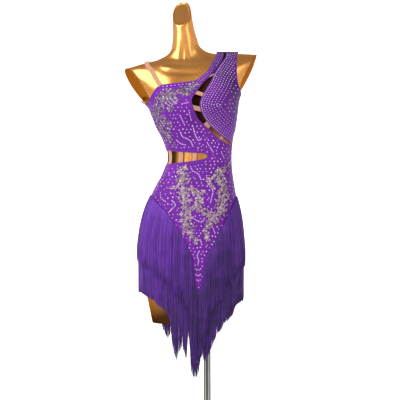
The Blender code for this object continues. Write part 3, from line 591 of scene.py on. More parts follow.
def make_stand():
    bore, hair = POLE_RADIUS + SEAT_GAP, 1e-5
    flange_top = TRUNK[0][0] - SEAT_GAP
    flange_low = flange_top - FLANGE_THICK
    turned("base_plate_turned", (
        (hair, 0.0), (PLATE_RADIUS - BREAK, 0.0), (PLATE_RADIUS, BREAK),
        (PLATE_RADIUS, PLATE_EDGE - BREAK), (PLATE_RADIUS - BREAK, PLATE_EDGE),
        (PLATE_RADIUS - 0.006, PLATE_TOP), (PLATE_RADIUS - 0.009, PLATE_TOP + BREAK),
        (BOSS_RADIUS + 0.006, PLATE_TOP + BREAK), (BOSS_RADIUS + 0.002, PLATE_TOP + 0.002),
        (BOSS_RADIUS, PLATE_TOP + 0.006), (BOSS_RADIUS, BOSS_TOP - 0.002),
        (BOSS_RADIUS - 0.002, BOSS_TOP), (bore, BOSS_TOP), (bore, PLATE_EDGE), (hair, PLATE_EDGE)),
        120, "base_plate")
    turned("pole_tube", (
        (hair, PLATE_EDGE + SEAT_GAP), (POLE_RADIUS, PLATE_EDGE + SEAT_GAP),
        (POLE_RADIUS, flange_low - SEAT_GAP), (hair, flange_low - SEAT_GAP)), 48, "pole")
    turned("pole_flange_turned", (
        (hair, flange_low), (bore, flange_low), (bore, COLLAR_LOW),
        (COLLAR_RADIUS - BREAK, COLLAR_LOW),
        (COLLAR_RADIUS, COLLAR_LOW + BREAK), (COLLAR_RADIUS, flange_low - 0.006),
        (COLLAR_RADIUS + 0.004, flange_low - 0.001), (FLANGE_RADIUS - BREAK, flange_low),
        (FLANGE_RADIUS, flange_low + BREAK), (FLANGE_RADIUS, flange_top - BREAK),
        (FLANGE_RADIUS - BREAK, flange_top), (hair, flange_top)), 72, "pole_flange")


make_stand()

# %% [markdown]
# ## Outlines of the cut pieces
# A pattern cutter draws each piece as a closed line. The dress is symmetrical nowhere, so every
# edge has its own line, seen straight from the front: the neckline, two armholes, both sides of
# the keyhole, the waist cut-out and the V where the fringe hangs.

# %% Edges as seen from the front: x, z
NECKLINE = (
    (-0.131, 1.302), (-0.089, 1.306), (-0.048, 1.311), (-0.030, 1.316), (-0.012, 1.332),
    (0.000, 1.343), (0.012, 1.367), (0.027, 1.397), (0.032, 1.430),
)
LEFT_ARMHOLE = (
    (-0.131, 1.302), (-0.147, 1.296), (-0.157, 1.284), (-0.166, 1.271), (-0.180, 1.249),
)
RIGHT_ARMHOLE = (
    (0.104, 1.276), (0.098, 1.291), (0.092, 1.304), (0.089, 1.322), (0.088, 1.350),
    (0.089, 1.383), (0.093, 1.430),
)
KEYHOLE_LEFT = (
    (0.050, 1.430), (0.047, 1.386), (0.028, 1.353), (0.005, 1.324), (-0.012, 1.306),
    (-0.034, 1.275), (-0.046, 1.255), (-0.042, 1.233), (-0.028, 1.202), (-0.012, 1.185),
    (0.019, 1.157), (0.036, 1.142), (0.070, 1.124),
)
KEYHOLE_RIGHT = (
    (0.058, 1.430), (0.056, 1.392), (0.034, 1.357), (0.021, 1.336), (0.011, 1.312),
    (-0.010, 1.275), (-0.020, 1.253), (-0.022, 1.232), (-0.010, 1.204), (0.009, 1.180),
    (0.042, 1.151), (0.073, 1.129),
)
CUTOUT_TOP = ((-0.117, 1.110), (-0.096, 1.105), (-0.057, 1.101), (-0.010, 1.098), (0.002, 1.089))
CUTOUT_LOW = (
    (0.002, 1.089), (-0.010, 1.082), (-0.042, 1.076), (-0.078, 1.072), (-0.117, 1.067),
)
BACK_NECKLINE = (
    (-0.180, 1.249), (-0.120, 1.262), (-0.060, 1.284), (-0.010, 1.320), (0.020, 1.362),
    (0.031, 1.402), (0.032, 1.430),
)
V_EDGE = (
    (-0.240, 0.974), (-0.167, 0.974), (-0.151, 0.953), (-0.114, 0.914), (-0.092, 0.879),
    (-0.071, 0.845), (-0.051, 0.801), (-0.044, 0.772), (-0.037, 0.710), (-0.027, 0.686),
    (-0.012, 0.717), (-0.007, 0.757), (0.000, 0.798), (0.018, 0.828), (0.038, 0.865),
    (0.069, 0.928), (0.087, 0.972), (0.140, 0.972),
)
BACK_V_SHARE = 0.85
HEM_UNDER_TAPE = 0.009
FAR_LEFT, FAR_RIGHT = -0.30, 0.20
LEFT_BELOW, LEFT_CUT_LOW, LEFT_CUT_TOP, LEFT_ARM = 0.962, 1.067, 1.110, 1.249
RIGHT_FRONT_TOP, RIGHT_YOKE_LOW, RIGHT_ARM = 1.118, 1.124, 1.276


def smooth_line(points, pieces=10):
    """A smooth line through points, with the given number of pieces in each gap."""
    rows = np.array(points, float)
    return ring_at(rows, np.linspace(0, len(rows) - 1, (len(rows) - 1) * pieces + 1))


def hem_height(x, front):
    """The fringe seam seen from the front at x; the back's V is a little less deep."""
    xs, zs = np.array(V_EDGE).T
    z = np.interp(x, xs, zs)
    return z if front else zs[0] + (z - zs[0]) * BACK_V_SHARE


def outline(*parts):
    return np.concatenate([np.atleast_2d(part) for part in parts])


def hem_line(front):
    xs = np.array(V_EDGE)[:, 0]
    return np.stack([xs, hem_height(xs, front) - HEM_UNDER_TAPE], axis=1)


CUTOUT = outline(smooth_line(CUTOUT_LOW[::-1]), smooth_line(CUTOUT_TOP[::-1])[1:])
LEFT_SIDE = outline((FAR_LEFT, LEFT_BELOW), (FAR_LEFT, LEFT_CUT_LOW), CUTOUT,
                    (FAR_LEFT, LEFT_CUT_TOP), (FAR_LEFT, LEFT_ARM))
OUTLINES = {
    "front": outline(smooth_line(KEYHOLE_LEFT), (FAR_RIGHT, RIGHT_FRONT_TOP), hem_line(True)[::-1],
                     LEFT_SIDE, smooth_line(LEFT_ARMHOLE[::-1]), smooth_line(NECKLINE)[1:]),
    "yoke": outline(smooth_line(KEYHOLE_RIGHT), (FAR_RIGHT, RIGHT_YOKE_LOW), (FAR_RIGHT, RIGHT_ARM),
                    smooth_line(RIGHT_ARMHOLE)),
    "back": outline(smooth_line(BACK_NECKLINE), smooth_line(RIGHT_ARMHOLE[::-1]),
                    (FAR_RIGHT, RIGHT_ARM), hem_line(False)[::-1], LEFT_SIDE),
}


def signed_distance(line, x, z):
    """Distance of each place from a closed line, negative inside: the least distance to its
    straight pieces, and the sign from how many of them a ray to the right crosses."""
    x, z = np.asarray(x, float), np.asarray(z, float)
    nearest, inside = np.full(x.shape, np.inf), np.zeros(x.shape, bool)
    for (ax, az), (bx, bz) in zip(line, np.roll(line, -1, axis=0)):
        ex, ez = bx - ax, bz - az
        share = np.clip(((x - ax) * ex + (z - az) * ez) / max(ex * ex + ez * ez, 1e-12), 0.0, 1.0)
        nearest = np.minimum(nearest, (x - ax - share * ex) ** 2 + (z - az - share * ez) ** 2)
        if ez != 0.0:
            inside ^= ((az > z) != (bz > z)) & (x < ax + (z - az) * ex / ez)
    return np.sqrt(nearest) * np.where(inside, -1.0, 1.0)


print({name: len(line) for name, line in OUTLINES.items()}, "points in the outlines")

# %% Painted shade on the shell: in the cut-outs, under the fringe and on the sawn faces
SHADOW_REACH, SHADOW_FADE = 0.013, 0.009
SLIT_LOW, SLIT_HIGH = 1.135, 1.180
WAIST_SHADES = (  # x, share of painted shadow on the shell between the waist elastics
    (-0.112, 0.97), (-0.096, 0.94), (-0.089, 0.72), (-0.083, 0.40), (-0.074, 0.95), (-0.069, 0.85),
    (-0.065, 0.0), (-0.048, 0.0), (-0.044, 0.50), (-0.032, 0.85), (-0.028, 0.30), (0.000, 0.20),
)
WAIST_LOW, WAIST_HIGH = 1.058, 1.116
SLIT_SHADE, SLIT_MORE = 0.36, 0.62
CUT_TONES, CUT_DEEP = (0.45, 0.45, 0.04), 0.003
# Painted shadow under the fringe, more the lower and the further right.
THIGH_SHADE, THIGH_TOP, THIGH_LEAN, THIGH_FADE, THIGH_LEAST = 0.94, 0.72, 0.5, 0.10, 0.3
THIGH_FROM = THIGH_TOP + 0.06


def add_painted_shade(form):
    """Painted shade on each point of the shell: full inside the keyhole, as the shadow of the cloth
    over the hollow, and just past its edges, less towards its low end; as the shadow of the
    elastics and the cut-out's edges between the waist elastics, by a line through the given
    tones; as the shadow of the fringe, more the lower and the further right; and on the sawn
    faces by a tone of their own, in place of their darker reflections."""
    flat = np.empty(len(form.data.vertices) * 3, np.float32)
    form.data.vertices.foreach_get("co", flat)
    x, y, z = flat.reshape(-1, 3).T
    slit = outline(smooth_line(KEYHOLE_LEFT), smooth_line(KEYHOLE_RIGHT)[::-1])
    near = np.clip((SHADOW_REACH - signed_distance(slit, x, z)) / SHADOW_FADE, 0.0, 1.0)
    deep = SLIT_SHADE + SLIT_MORE * np.clip((z - SLIT_LOW) / (SLIT_HIGH - SLIT_LOW), 0.0, 1.0)
    waist = np.interp(x, *np.array(WAIST_SHADES).T) * ((z > WAIST_LOW) & (z < WAIST_HIGH))
    shade_share = np.where(y < 0, np.maximum(near * deep, waist), 0.0)
    thigh = np.clip((THIGH_FROM - z + x * THIGH_LEAN) / THIGH_FADE, THIGH_LEAST, 1.0)
    shade_share = np.maximum(shade_share, THIGH_SHADE * thigh * (z < THIGH_TOP))
    # Painted shade on the sawn faces.
    for (middle, direction, _, _), tone in zip(FORM_CUTS, CUT_TONES):
        past = (np.stack([x, y, z], axis=-1) - np.array(middle)) @ np.array(direction)
        shade_share = np.where(past > -CUT_DEEP, np.maximum(shade_share, tone), shade_share)
    painted_shade = form.data.attributes.new("painted_shade", "FLOAT", "POINT")
    painted_shade.data.foreach_set("value", shade_share.astype(np.float32))
    print("patina on", int((shade_share > 0.1).sum()), "of", len(shade_share), "points")


add_painted_shade(form_shell)

# %% [markdown]
# ## Stretch velvet
# Dance velvet is a knit with a short pile. It is darker where one looks straight into the pile
# and paler where the pile lies over, so a sheen does more for it than any picture would. Clouds
# in the pile, single shining fibres and the fine courses of the knit come from noise and from
# the sine of the sheet's own UV, which is in metres.

# %% Cloth finishes
PILE_SHEEN = (0.50, 0.20, 0.85, 1.0)
SHADE_LEAN, SHADE_FROM, SHADE_TO, SHADE_MOST = 1.6, 1.30, 1.41, 0.75


def stretch_velvet():
    """Clouds and single shining fibres in the pile, the sine of two directions for the knit, and
    painted shade, darker by a leaning height: the higher and the further right, towards the
    shoulder."""
    f = Finish("purple_stretch_cloth")
    place = f.place()
    across, up, _ = f.parts(f.place("UV"))
    cloud = f.fit(f.noise(place, 11.0, 3.0, 0.6), 0.32, 0.70)
    pile = f.fit(f.noise(place, 620.0, 2.0, 0.7), 0.38, 0.66)
    wales = (across * (math.tau / 0.0016)).sine() + (up * (math.tau / 0.0013)).sine() * 0.5
    colour = f.mix(cloud, (0.088, 0.004, 0.200), (0.150, 0.008, 0.320))
    colour = f.mix(pile * 0.40, colour, (0.24, 0.022, 0.46))
    x, _, z = f.parts(place)
    # Painted shade towards the shoulder: the cloth is mixed towards a dark purple.
    painted_cloth_shade = f.fit(x * SHADE_LEAN + z, SHADE_FROM, SHADE_TO, 0.0, SHADE_MOST)
    colour = f.mix(painted_cloth_shade, colour, (0.040, 0.004, 0.095))
    return f.shader(
        Base_Color=colour, Roughness=f.fit(pile, 0.0, 1.0, 0.62, 0.42), Sheen_Weight=0.22,
        Sheen_Roughness=0.35, Sheen_Tint=PILE_SHEEN, Specular_IOR_Level=0.22,
        Normal=f.bump(wales * 0.25 + pile, 0.0006, 0.45))


def binding_cloth(name, deep, bright):
    """The same cloth doubled and stretched round an edge: the pile is crushed, so it is darker. The
    shoulder seam's far darker colours also stand for painted shade along the shoulder's top.
    """
    f = Finish(name)
    place = f.place()
    pile = f.fit(f.noise(place, 700.0, 2.0, 0.7), 0.38, 0.66)
    pucker = f.noise(place, 230.0, 1.0)
    return f.shader(
        Base_Color=f.mix(pile, deep, bright), Roughness=f.fit(pile, 0.0, 1.0, 0.55, 0.38),
        Sheen_Weight=0.2, Sheen_Tint=PILE_SHEEN, Normal=f.bump(pucker + pile * 0.3, 0.0009, 0.5))


VELVET = stretch_velvet()
BINDING = binding_cloth("purple_binding", (0.075, 0.005, 0.170), (0.16, 0.018, 0.34))
# Painted shade: the shoulder seam is partly a real seam and partly shade along the shoulder's top.
SEAM_CLOTH_AND_SHADE = binding_cloth("seam_cloth_and_shade", (0.014, 0.004, 0.045), (0.045, 0.010, 0.110))
print("cloth finishes:", VELVET.name, BINDING.name)

# %% [markdown]
# ## Creases
# Stretch cloth that is pulled over a figure has few folds, and each has a reason: it drags from
# a strap, gathers under the bust or slackens at the waist. A cloth simulation would find some
# of them, but not where the straps pull. So each crease is placed as a bent line with a soft
# ridge and a shallow trough beside it, and no two are the same length, width or height.

# %% Creases, placed one by one
FRONT_CREASES = (  # x and z at one end, x and z at the other, bow, width, height
    (-0.104, 1.066, -0.020, 1.040, 0.006, 0.0050, 0.0019),
    (-0.112, 1.052, -0.048, 1.022, 0.004, 0.0042, 0.0013),
    (-0.080, 1.070, -0.052, 1.010, -0.005, 0.0038, 0.0011),
    (-0.036, 1.074, 0.020, 1.046, 0.005, 0.0046, 0.0015),
    (0.000, 1.086, 0.062, 1.062, 0.004, 0.0050, 0.0017),
    (0.004, 1.096, 0.066, 1.092, -0.003, 0.0040, 0.0014),
    (0.002, 1.104, 0.050, 1.124, 0.004, 0.0044, 0.0012),
    (-0.040, 1.103, -0.012, 1.150, -0.006, 0.0052, 0.0016),
    (-0.074, 1.104, -0.060, 1.146, -0.004, 0.0044, 0.0013),
    (-0.098, 1.110, -0.112, 1.160, 0.005, 0.0050, 0.0014),
    (-0.140, 1.176, -0.098, 1.192, -0.004, 0.0055, 0.0015),
    (-0.150, 1.196, -0.118, 1.208, -0.003, 0.0046, 0.0010),
    (-0.066, 1.196, -0.034, 1.222, 0.005, 0.0052, 0.0018),
    (-0.060, 1.292, -0.044, 1.262, 0.004, 0.0046, 0.0015),
    (-0.080, 1.298, -0.072, 1.270, 0.003, 0.0040, 0.0010),
    (-0.150, 1.018, -0.108, 0.992, -0.006, 0.0060, 0.0016),
    (-0.170, 0.976, -0.120, 0.962, -0.004, 0.0056, 0.0013),
    (0.018, 1.010, 0.070, 0.984, 0.006, 0.0060, 0.0014),
    (-0.020, 0.930, 0.010, 0.880, 0.004, 0.0064, 0.0013),
    (-0.070, 0.914, -0.036, 0.866, -0.005, 0.0058, 0.0014),
)
YOKE_CREASES = (
    (0.020, 1.180, 0.070, 1.196, 0.004, 0.0050, 0.0013),
    (0.000, 1.212, 0.036, 1.224, -0.004, 0.0046, 0.0012),
    (0.084, 1.262, 0.052, 1.286, 0.005, 0.0052, 0.0015),
    (0.086, 1.236, 0.058, 1.250, 0.004, 0.0046, 0.0012),
    (0.040, 1.352, 0.066, 1.316, -0.003, 0.0040, 0.0010),
    (0.062, 1.400, 0.068, 1.352, 0.002, 0.0038, 0.0011),
)
BACK_CREASES = (
    (-0.110, 1.068, -0.030, 1.046, 0.006, 0.0052, 0.0018),
    (-0.090, 1.052, -0.036, 1.024, -0.004, 0.0044, 0.0013),
    (0.002, 1.090, 0.064, 1.078, 0.004, 0.0050, 0.0017),
    (0.000, 1.076, 0.056, 1.050, 0.005, 0.0046, 0.0012),
    (-0.100, 1.112, -0.050, 1.142, -0.006, 0.0050, 0.0015),
    (-0.030, 1.104, 0.010, 1.150, 0.005, 0.0052, 0.0016),
    (0.020, 1.110, 0.070, 1.150, -0.004, 0.0056, 0.0014),
    (-0.130, 1.190, -0.080, 1.214, 0.004, 0.0056, 0.0013),
    (0.030, 1.290, 0.082, 1.262, -0.005, 0.0054, 0.0015),
    (0.040, 1.380, 0.074, 1.330, 0.004, 0.0046, 0.0012),
    (-0.150, 1.010, -0.104, 0.986, 0.005, 0.0060, 0.0015),
    (0.014, 1.006, 0.068, 0.982, -0.005, 0.0062, 0.0014),
    (-0.080, 0.930, -0.034, 0.894, 0.005, 0.0064, 0.0013),
    (-0.020, 0.936, 0.024, 0.888, -0.004, 0.0060, 0.0012),
)
CREASES = {"front": FRONT_CREASES, "yoke": YOKE_CREASES, "back": BACK_CREASES}


def on_cloth(turn, v, off, creases):
    """A point on a creased piece: the cloth's surface, lifted by the creases and by off."""
    place = cloth(turn, v)
    lift = crease_height(creases, place[..., 0], place[..., 2])
    return cloth(turn, v, lift + off)


print(sum(len(c) for c in CREASES.values()), "creases")

# %% [markdown]
# ## The three sheets of cloth
# A cutter lays the pattern on the cloth and cuts along the line. Here the cloth is a fine net
# over half the figure. Each of its cells that the outline crosses is cut to the part inside: an
# inside corner is kept, and where two neighbouring corners disagree a new one is put on the
# line between them. Solidify then gives the sheet its wall.

# %% Cutting a sheet along its outline
SEAM_TURN = 0.003
NET_COLUMNS, NET_STEP, NET_TOP = 150, 0.055, 18.0
TURN_LENGTH = 0.15


def cut_net(line, turns, vs):
    """Points, face corners, face starts, turn and v of the part of a net inside a closed line.
    Every cell has eight places, corner, crossing, corner and so on round it. Those in use, read
    in order, are the cut cell. A crossing lies where the distance to the line falls to zero."""
    turn, v = np.meshgrid(turns, vs)
    rows, columns = turn.shape
    seen = cloth(turn, v)
    gap = signed_distance(line, seen[..., 0], seen[..., 2])
    inside = gap < 0
    number = np.arange(rows * columns).reshape(rows, columns)
    extra_turn, extra_v, crossing = [], [], []
    count = rows * columns
    for axis in (1, 0):
        a = (slice(None), slice(None, -1)) if axis else (slice(None, -1), slice(None))
        b = (slice(None), slice(1, None)) if axis else (slice(1, None), slice(None))
        crossed = inside[a] != inside[b]
        low, high = np.zeros(crossed.sum()), np.ones(crossed.sum())
        ta, tb, va, vb = turn[a][crossed], turn[b][crossed], v[a][crossed], v[b][crossed]
        for _ in range(9):
            share = (low + high) / 2
            middle = cloth(ta + (tb - ta) * share, va + (vb - va) * share)
            same = (signed_distance(line, middle[..., 0], middle[..., 2]) < 0) == inside[a][crossed]
            low, high = np.where(same, share, low), np.where(same, high, share)
        ids = np.full(crossed.shape, -1)
        ids[crossed] = count + np.arange(crossed.sum())
        count += crossed.sum()
        extra_turn.append(ta + (tb - ta) * low)
        extra_v.append(va + (vb - va) * low)
        crossing.append(ids)
    flat, tall = crossing
    corner = [number[:-1, :-1], number[:-1, 1:], number[1:, 1:], number[1:, :-1]]
    kept = [inside[:-1, :-1], inside[:-1, 1:], inside[1:, 1:], inside[1:, :-1]]
    between = [flat[:-1], tall[:, 1:], flat[1:], tall[:, :-1]]
    places = np.stack([p for pair in zip(corner, between) for p in pair], axis=-1).reshape(-1, 8)
    used = np.stack([p for pair in zip(kept, [b >= 0 for b in between]) for p in pair], axis=-1)
    used = used.reshape(-1, 8)
    whole = used.sum(axis=1) >= 3
    places, used = places[whole], used[whole]
    loops = places[used]
    starts = np.concatenate([[0], np.cumsum(used.sum(axis=1))[:-1]])
    names, loops = np.unique(loops, return_inverse=True)
    all_turn = np.concatenate([turn.ravel(), *extra_turn])[names]
    all_v = np.concatenate([v.ravel(), *extra_v])[names]
    return loops, starts, all_turn, all_v


def make_sheet(name, line, front, lowest, creases, replaced):
    """A cut sheet: its net from the lowest v up, its creases, a UV in metres and a wall that
    grows outwards."""
    start = 0.0 if front else math.pi
    turns = (start + np.linspace(SEAM_TURN, math.pi - SEAM_TURN, NET_COLUMNS))[::-1]
    vs = np.arange(lowest, NET_TOP + 0.01, NET_STEP)
    loops, starts, turn, v = cut_net(line, turns, vs)
    points = on_cloth(turn, v, 0.0, creases)
    uv = np.stack([(turn - start) * TURN_LENGTH, points[:, 2]], axis=1)
    obj = new_mesh(name, points, loops, starts, uv)
    bm = bmesh.new()
    bm.from_mesh(obj.data)
    bmesh.ops.remove_doubles(bm, verts=bm.verts, dist=0.0005)
    print(name, "sheet area", round(sum(face.calc_area() for face in bm.faces), 4), "m2")
    bm.to_mesh(obj.data)
    bm.free()
    give_wall(obj, CLOTH_WALL, 1.0).use_even_offset = False
    add_piece(name, obj, VELVET, [replaced])


for key, lowest, replaced in (
        ("front", 1.0, "front_panel"), ("yoke", 7.0, "shoulder_panel"),
        ("back", 1.0, "back_panel")):
    make_sheet(key + "_cloth", OUTLINES[key], key != "back", lowest, CREASES[key], replaced)

# %% [markdown]
# ## Rolled edges and their stitches
# A cut edge of stretch cloth curls, so a narrow strip is folded round it and sewn down with two
# rows of small stitches. The strip could be a bevelled curve, but it has to lie flat on the
# cloth. So it is a flattened oval carried along the edge: at each step one axis points along
# the cloth, away from the edge, and the other straight out of it.

# %% Edges on the surface
EDGE_STEP = 0.0026


def lengths_along(points):
    return np.concatenate([[0], np.cumsum(np.linalg.norm(np.diff(points, axis=0), axis=1))])


def resampled(points, step):
    """A line with even steps: its points are read off again at equal lengths along it."""
    lengths = lengths_along(points)
    even = np.linspace(0, lengths[-1], max(int(lengths[-1] / step), 2) + 1)
    return np.stack([np.interp(even, lengths, column) for column in points.T], axis=1)


def edge_address(line, front, step=EDGE_STEP):
    """turn and v along an edge, with even steps, without the ends that lie past the body."""
    even = resampled(np.asarray(line, float), step)
    turn, v = find(even[:, 0], even[:, 1], front)
    seen = cloth(turn, v)
    miss = np.hypot(seen[:, 0] - even[:, 0], seen[:, 2] - even[:, 1])
    good = np.flatnonzero(miss < 0.0012)
    return turn[good[0]:good[-1] + 1], v[good[0]:good[-1] + 1]


def edge_frame(turn, v, off, creases, inward):
    """Points along an edge, the direction along the cloth away from it, and straight out."""
    points = on_cloth(turn, v, off, creases)
    out = outward(turn, v)
    aside = unit(np.cross(unit(np.gradient(points, axis=0)), out)) * inward
    return points, aside, out


def carried(points, aside, out, profile):
    """A closed profile carried along a line; profile holds steps aside and out, row by row."""
    s, h = profile[..., 0], profile[..., 1]
    if profile.ndim == 2:
        s, h = s[None, :], h[None, :]
    return points[:, None] + aside[:, None] * s[..., None] + out[:, None] * h[..., None]


def closed_ends(net):
    """Close both ends of a carried profile by shrinking a copy of the last row to its middle."""
    first, last = net[:1], net[-1:]
    middle_first, middle_last = first.mean(axis=1, keepdims=True), last.mean(axis=1, keepdims=True)
    return np.concatenate([middle_first + (first - middle_first) * 0.02, net,
                           middle_last + (last - middle_last) * 0.02])


def joined(nets, rims=0):
    """Several nets, single or in copies and closed round their columns, as one list of points
    and one of faces. The first few, the rims, are closed along their rows too."""
    points, faces, count = [], [], 0
    for k, net in enumerate(nets):
        ring = net_faces(*net.shape[-3:-1], close_rows=k < rims, close_columns=True)
        points.append(net.reshape(-1, 3))
        faces.append(many(ring, len(points[-1]) // (ring.max() + 1)) + count)
        count += len(points[-1])
    return np.concatenate(points), np.concatenate(faces)


def tidy_normals(obj):
    """Points that fall together are merged, and all faces are turned to look outwards."""
    bm = bmesh.new()
    bm.from_mesh(obj.data)
    bmesh.ops.remove_doubles(bm, verts=bm.verts, dist=1e-6)
    bmesh.ops.recalc_face_normals(bm, faces=bm.faces)
    bm.to_mesh(obj.data)
    bm.free()


EDGES = (  # line, on the front, sheet, which side the cloth is on, width
    (NECKLINE, True, "front", 1, 0.0030),
    (LEFT_ARMHOLE, True, "front", -1, 0.0028),
    (KEYHOLE_LEFT, True, "front", 1, 0.0026),
    (KEYHOLE_RIGHT, True, "yoke", -1, 0.0028),
    (RIGHT_ARMHOLE, True, "yoke", -1, 0.0028),
    (CUTOUT_TOP, True, "front", -1, 0.0026),
    (CUTOUT_LOW, True, "front", -1, 0.0026),
    (BACK_NECKLINE, False, "back", -1, 0.0030),
    (RIGHT_ARMHOLE, False, "back", 1, 0.0028),
    (CUTOUT_TOP, False, "back", 1, 0.0026),
    (CUTOUT_LOW, False, "back", 1, 0.0026),
)
ROLL_THICK = 0.0023
AROUND_ROLL = circle(12)


def make_rolled_edges():
    """A flattened oval on each edge, set in by not quite half its width, that puckers a little."""
    nets = []
    for k, (line, front, sheet, inward, width) in enumerate(EDGES):
        turn, v = edge_address(smooth_line(line), front)
        points, aside, out = edge_frame(turn, v, CLOTH_WALL / 2, CREASES[sheet], inward)
        along = np.arange(len(points))[:, None] * EDGE_STEP
        pucker = 1 + 0.07 * np.sin(along * 620 + k) + 0.05 * np.sin(along * 271 + 2 * k)
        s = width * 0.44 + width / 2 * np.cos(AROUND_ROLL) * pucker
        h = ROLL_THICK / 2 * np.sin(AROUND_ROLL) * pucker
        nets.append(closed_ends(carried(points, aside, out, np.stack([s, h], axis=-1))))
    tidy_normals(net_piece("rolled_edges", *joined(nets), BINDING, "purple_stretch_cloth"))


make_rolled_edges()

# %% The seam on the shoulder
SEAM_FROM, SEAM_TO, SEAM_TOP, SEAM_STEPS = 0.0305, 0.0945, 1.4290, 40
SEAM_HALF_WIDE, SEAM_HALF_THICK, SEAM_RISE = 0.0046, 0.0034, 0.0016


def make_shoulder_seam():
    """A thick roll where front and back meet on the shoulder: for each x the address halfway
    between the front's top and the back's, with a flattened oval carried along it."""
    x, z = np.linspace(SEAM_FROM, SEAM_TO, SEAM_STEPS), np.full(SEAM_STEPS, SEAM_TOP)
    ahead, behind = find(x, z), find(x, z, False)
    behind_turn = np.where(behind[0] > math.pi, behind[0] - math.tau, behind[0])
    turn, v = (ahead[0] + behind_turn) / 2, (ahead[1] + behind[1]) / 2
    points, aside, out = edge_frame(turn, v, CLOTH_WALL, FRONT_CREASES, 1)
    bulge = 1 + 0.05 * np.sin(np.arange(SEAM_STEPS)[:, None] * 1.3)
    s = SEAM_HALF_WIDE * np.cos(AROUND_ROLL) * bulge
    h = SEAM_RISE + SEAM_HALF_THICK * np.sin(AROUND_ROLL) * bulge
    points, faces = joined([closed_ends(carried(points, aside, out, np.stack([s, h], axis=-1)))])
    print("seam from", np.round(points.min(axis=0), 3), "to", np.round(points.max(axis=0), 3))
    tidy_normals(net_piece("shoulder_seam", points, faces, SEAM_CLOTH_AND_SHADE, "purple_stretch_cloth"))


make_shoulder_seam()

# %% Stitches
STITCH_PITCH, STITCH_LONG, STITCH_RADIUS, STITCH_LIFT = 0.0032, 0.0021, 0.00030, 0.0001
STITCH_RINGS, STITCH_SIDES = 4, 4


def thread_finish(name, deep, bright):
    """Twisted thread: a tone for each thread from u, a slow change along it, a fine twist."""
    f = Finish(name)
    tone, along, _ = f.parts(f.place("UV"))
    drift = f.noise(f.place(), 36.0, 2.0)
    twist = (along * (math.tau / 0.0022) + tone * 40.0).sine()
    return f.shader(
        Base_Color=f.mix(f.fit(tone * 0.75 + drift * 0.5, 0.15, 0.95), deep, bright),
        Roughness=f.fit(twist, -1.0, 1.0, 0.50, 0.34), Sheen_Weight=0.1,
        Sheen_Tint=(0.55, 0.28, 1.0, 1.0), Normal=f.bump(twist, 0.00025, 0.4))


STITCH_THREAD = thread_finish("stitch_thread", (0.10, 0.015, 0.28), (0.19, 0.04, 0.44))


def make_stitches():
    """Small spindles end to end: radius by the sine of the way along, tips sunk in the cloth."""
    around = circle(STITCH_SIDES)
    way = np.linspace(0, 1, STITCH_RINGS)
    bow = (np.sin(math.pi * way) - 0.5) * 0.0004
    radius = STITCH_RADIUS * np.sin(math.pi * np.clip(way, 0.08, 0.92)) ** 0.5
    nets = []
    for line, front, sheet, inward, width in EDGES:
        turn, v = edge_address(smooth_line(line), front, STITCH_PITCH)
        points, aside, out = edge_frame(turn, v, CLOTH_WALL, CREASES[sheet], inward)
        ahead = unit(np.gradient(points, axis=0))
        ring = (aside[:, None, None] * np.cos(around)[None, None, :, None]
                + out[:, None, None] * np.sin(around)[None, None, :, None])
        for inset in (width * 1.15, width * 1.75):
            place = points + aside * inset + out * STITCH_LIFT
            centre = place[:, None] + ahead[:, None] * ((way - 0.5) * STITCH_LONG)[None, :, None]
            centre = centre + out[:, None] * bow[None, :, None]
            nets.append(centre[:, :, None] + ring * radius[None, :, None, None])
    net = np.concatenate(nets)
    faces = many(net_faces(STITCH_RINGS, STITCH_SIDES, close_columns=True), len(net))
    tone = np.random.default_rng(3).random(len(net))
    uv = np.broadcast_arrays(tone[:, None, None], way[None, :, None] * STITCH_LONG)
    net_piece("stitches", net, faces, STITCH_THREAD, "purple_stretch_cloth", np.stack(uv, axis=-1))


make_stitches()

# %% [markdown]
# ## Nude elastics
# Skin-coloured elastic holds the cut-outs together so that the bare parts keep their shape. It
# is woven in narrow ribs that run along it and its ends are tucked under the rolled edges. Each
# band is a net between four places on the body; it passes from under one edge to under the
# other, so its height over the body is lower at both ends.

# %% Elastic finish and helpers
ELASTIC_WALL, ELASTIC_LIFT, EDGE_GAP = 0.0010, 0.0007, 0.0005
RIB_PITCH = 0.0013


def nude_elastic():
    f = Finish("nude_elastic")
    across, along, _ = f.parts(f.place("UV"))
    rib = (across * (math.tau / RIB_PITCH)).sine()
    pick = (along * (math.tau / 0.0009)).sine()
    stain = f.fit(f.noise(f.place(), 60.0, 3.0), 0.35, 0.7)
    colour = f.mix(stain, (0.53, 0.25, 0.145), (0.64, 0.33, 0.20))
    # Painted shade: a darker, deeper colour in the grooves between the ribs.
    colour = f.mix(f.fit(rib, -1.0, 0.2, 0.35, 0.0), colour, (0.55, 0.22, 0.12))
    return f.shader(Base_Color=colour, Roughness=0.58, Sheen_Weight=0.12,
                    Normal=f.bump(rib + pick * 0.25, 0.0004, 0.6))


ELASTIC = nude_elastic()


def on_line(line, x=None, z=None):
    """The other coordinate of an edge at a given x or z."""
    fine = smooth_line(line, 4)
    given, wanted = (0, 1) if z is None else (1, 0)
    order = np.argsort(fine[:, given])
    return float(np.interp(x if z is None else z, fine[order, given], fine[order, wanted]))


BAND_ROWS, BAND_COLUMNS = 25, 15


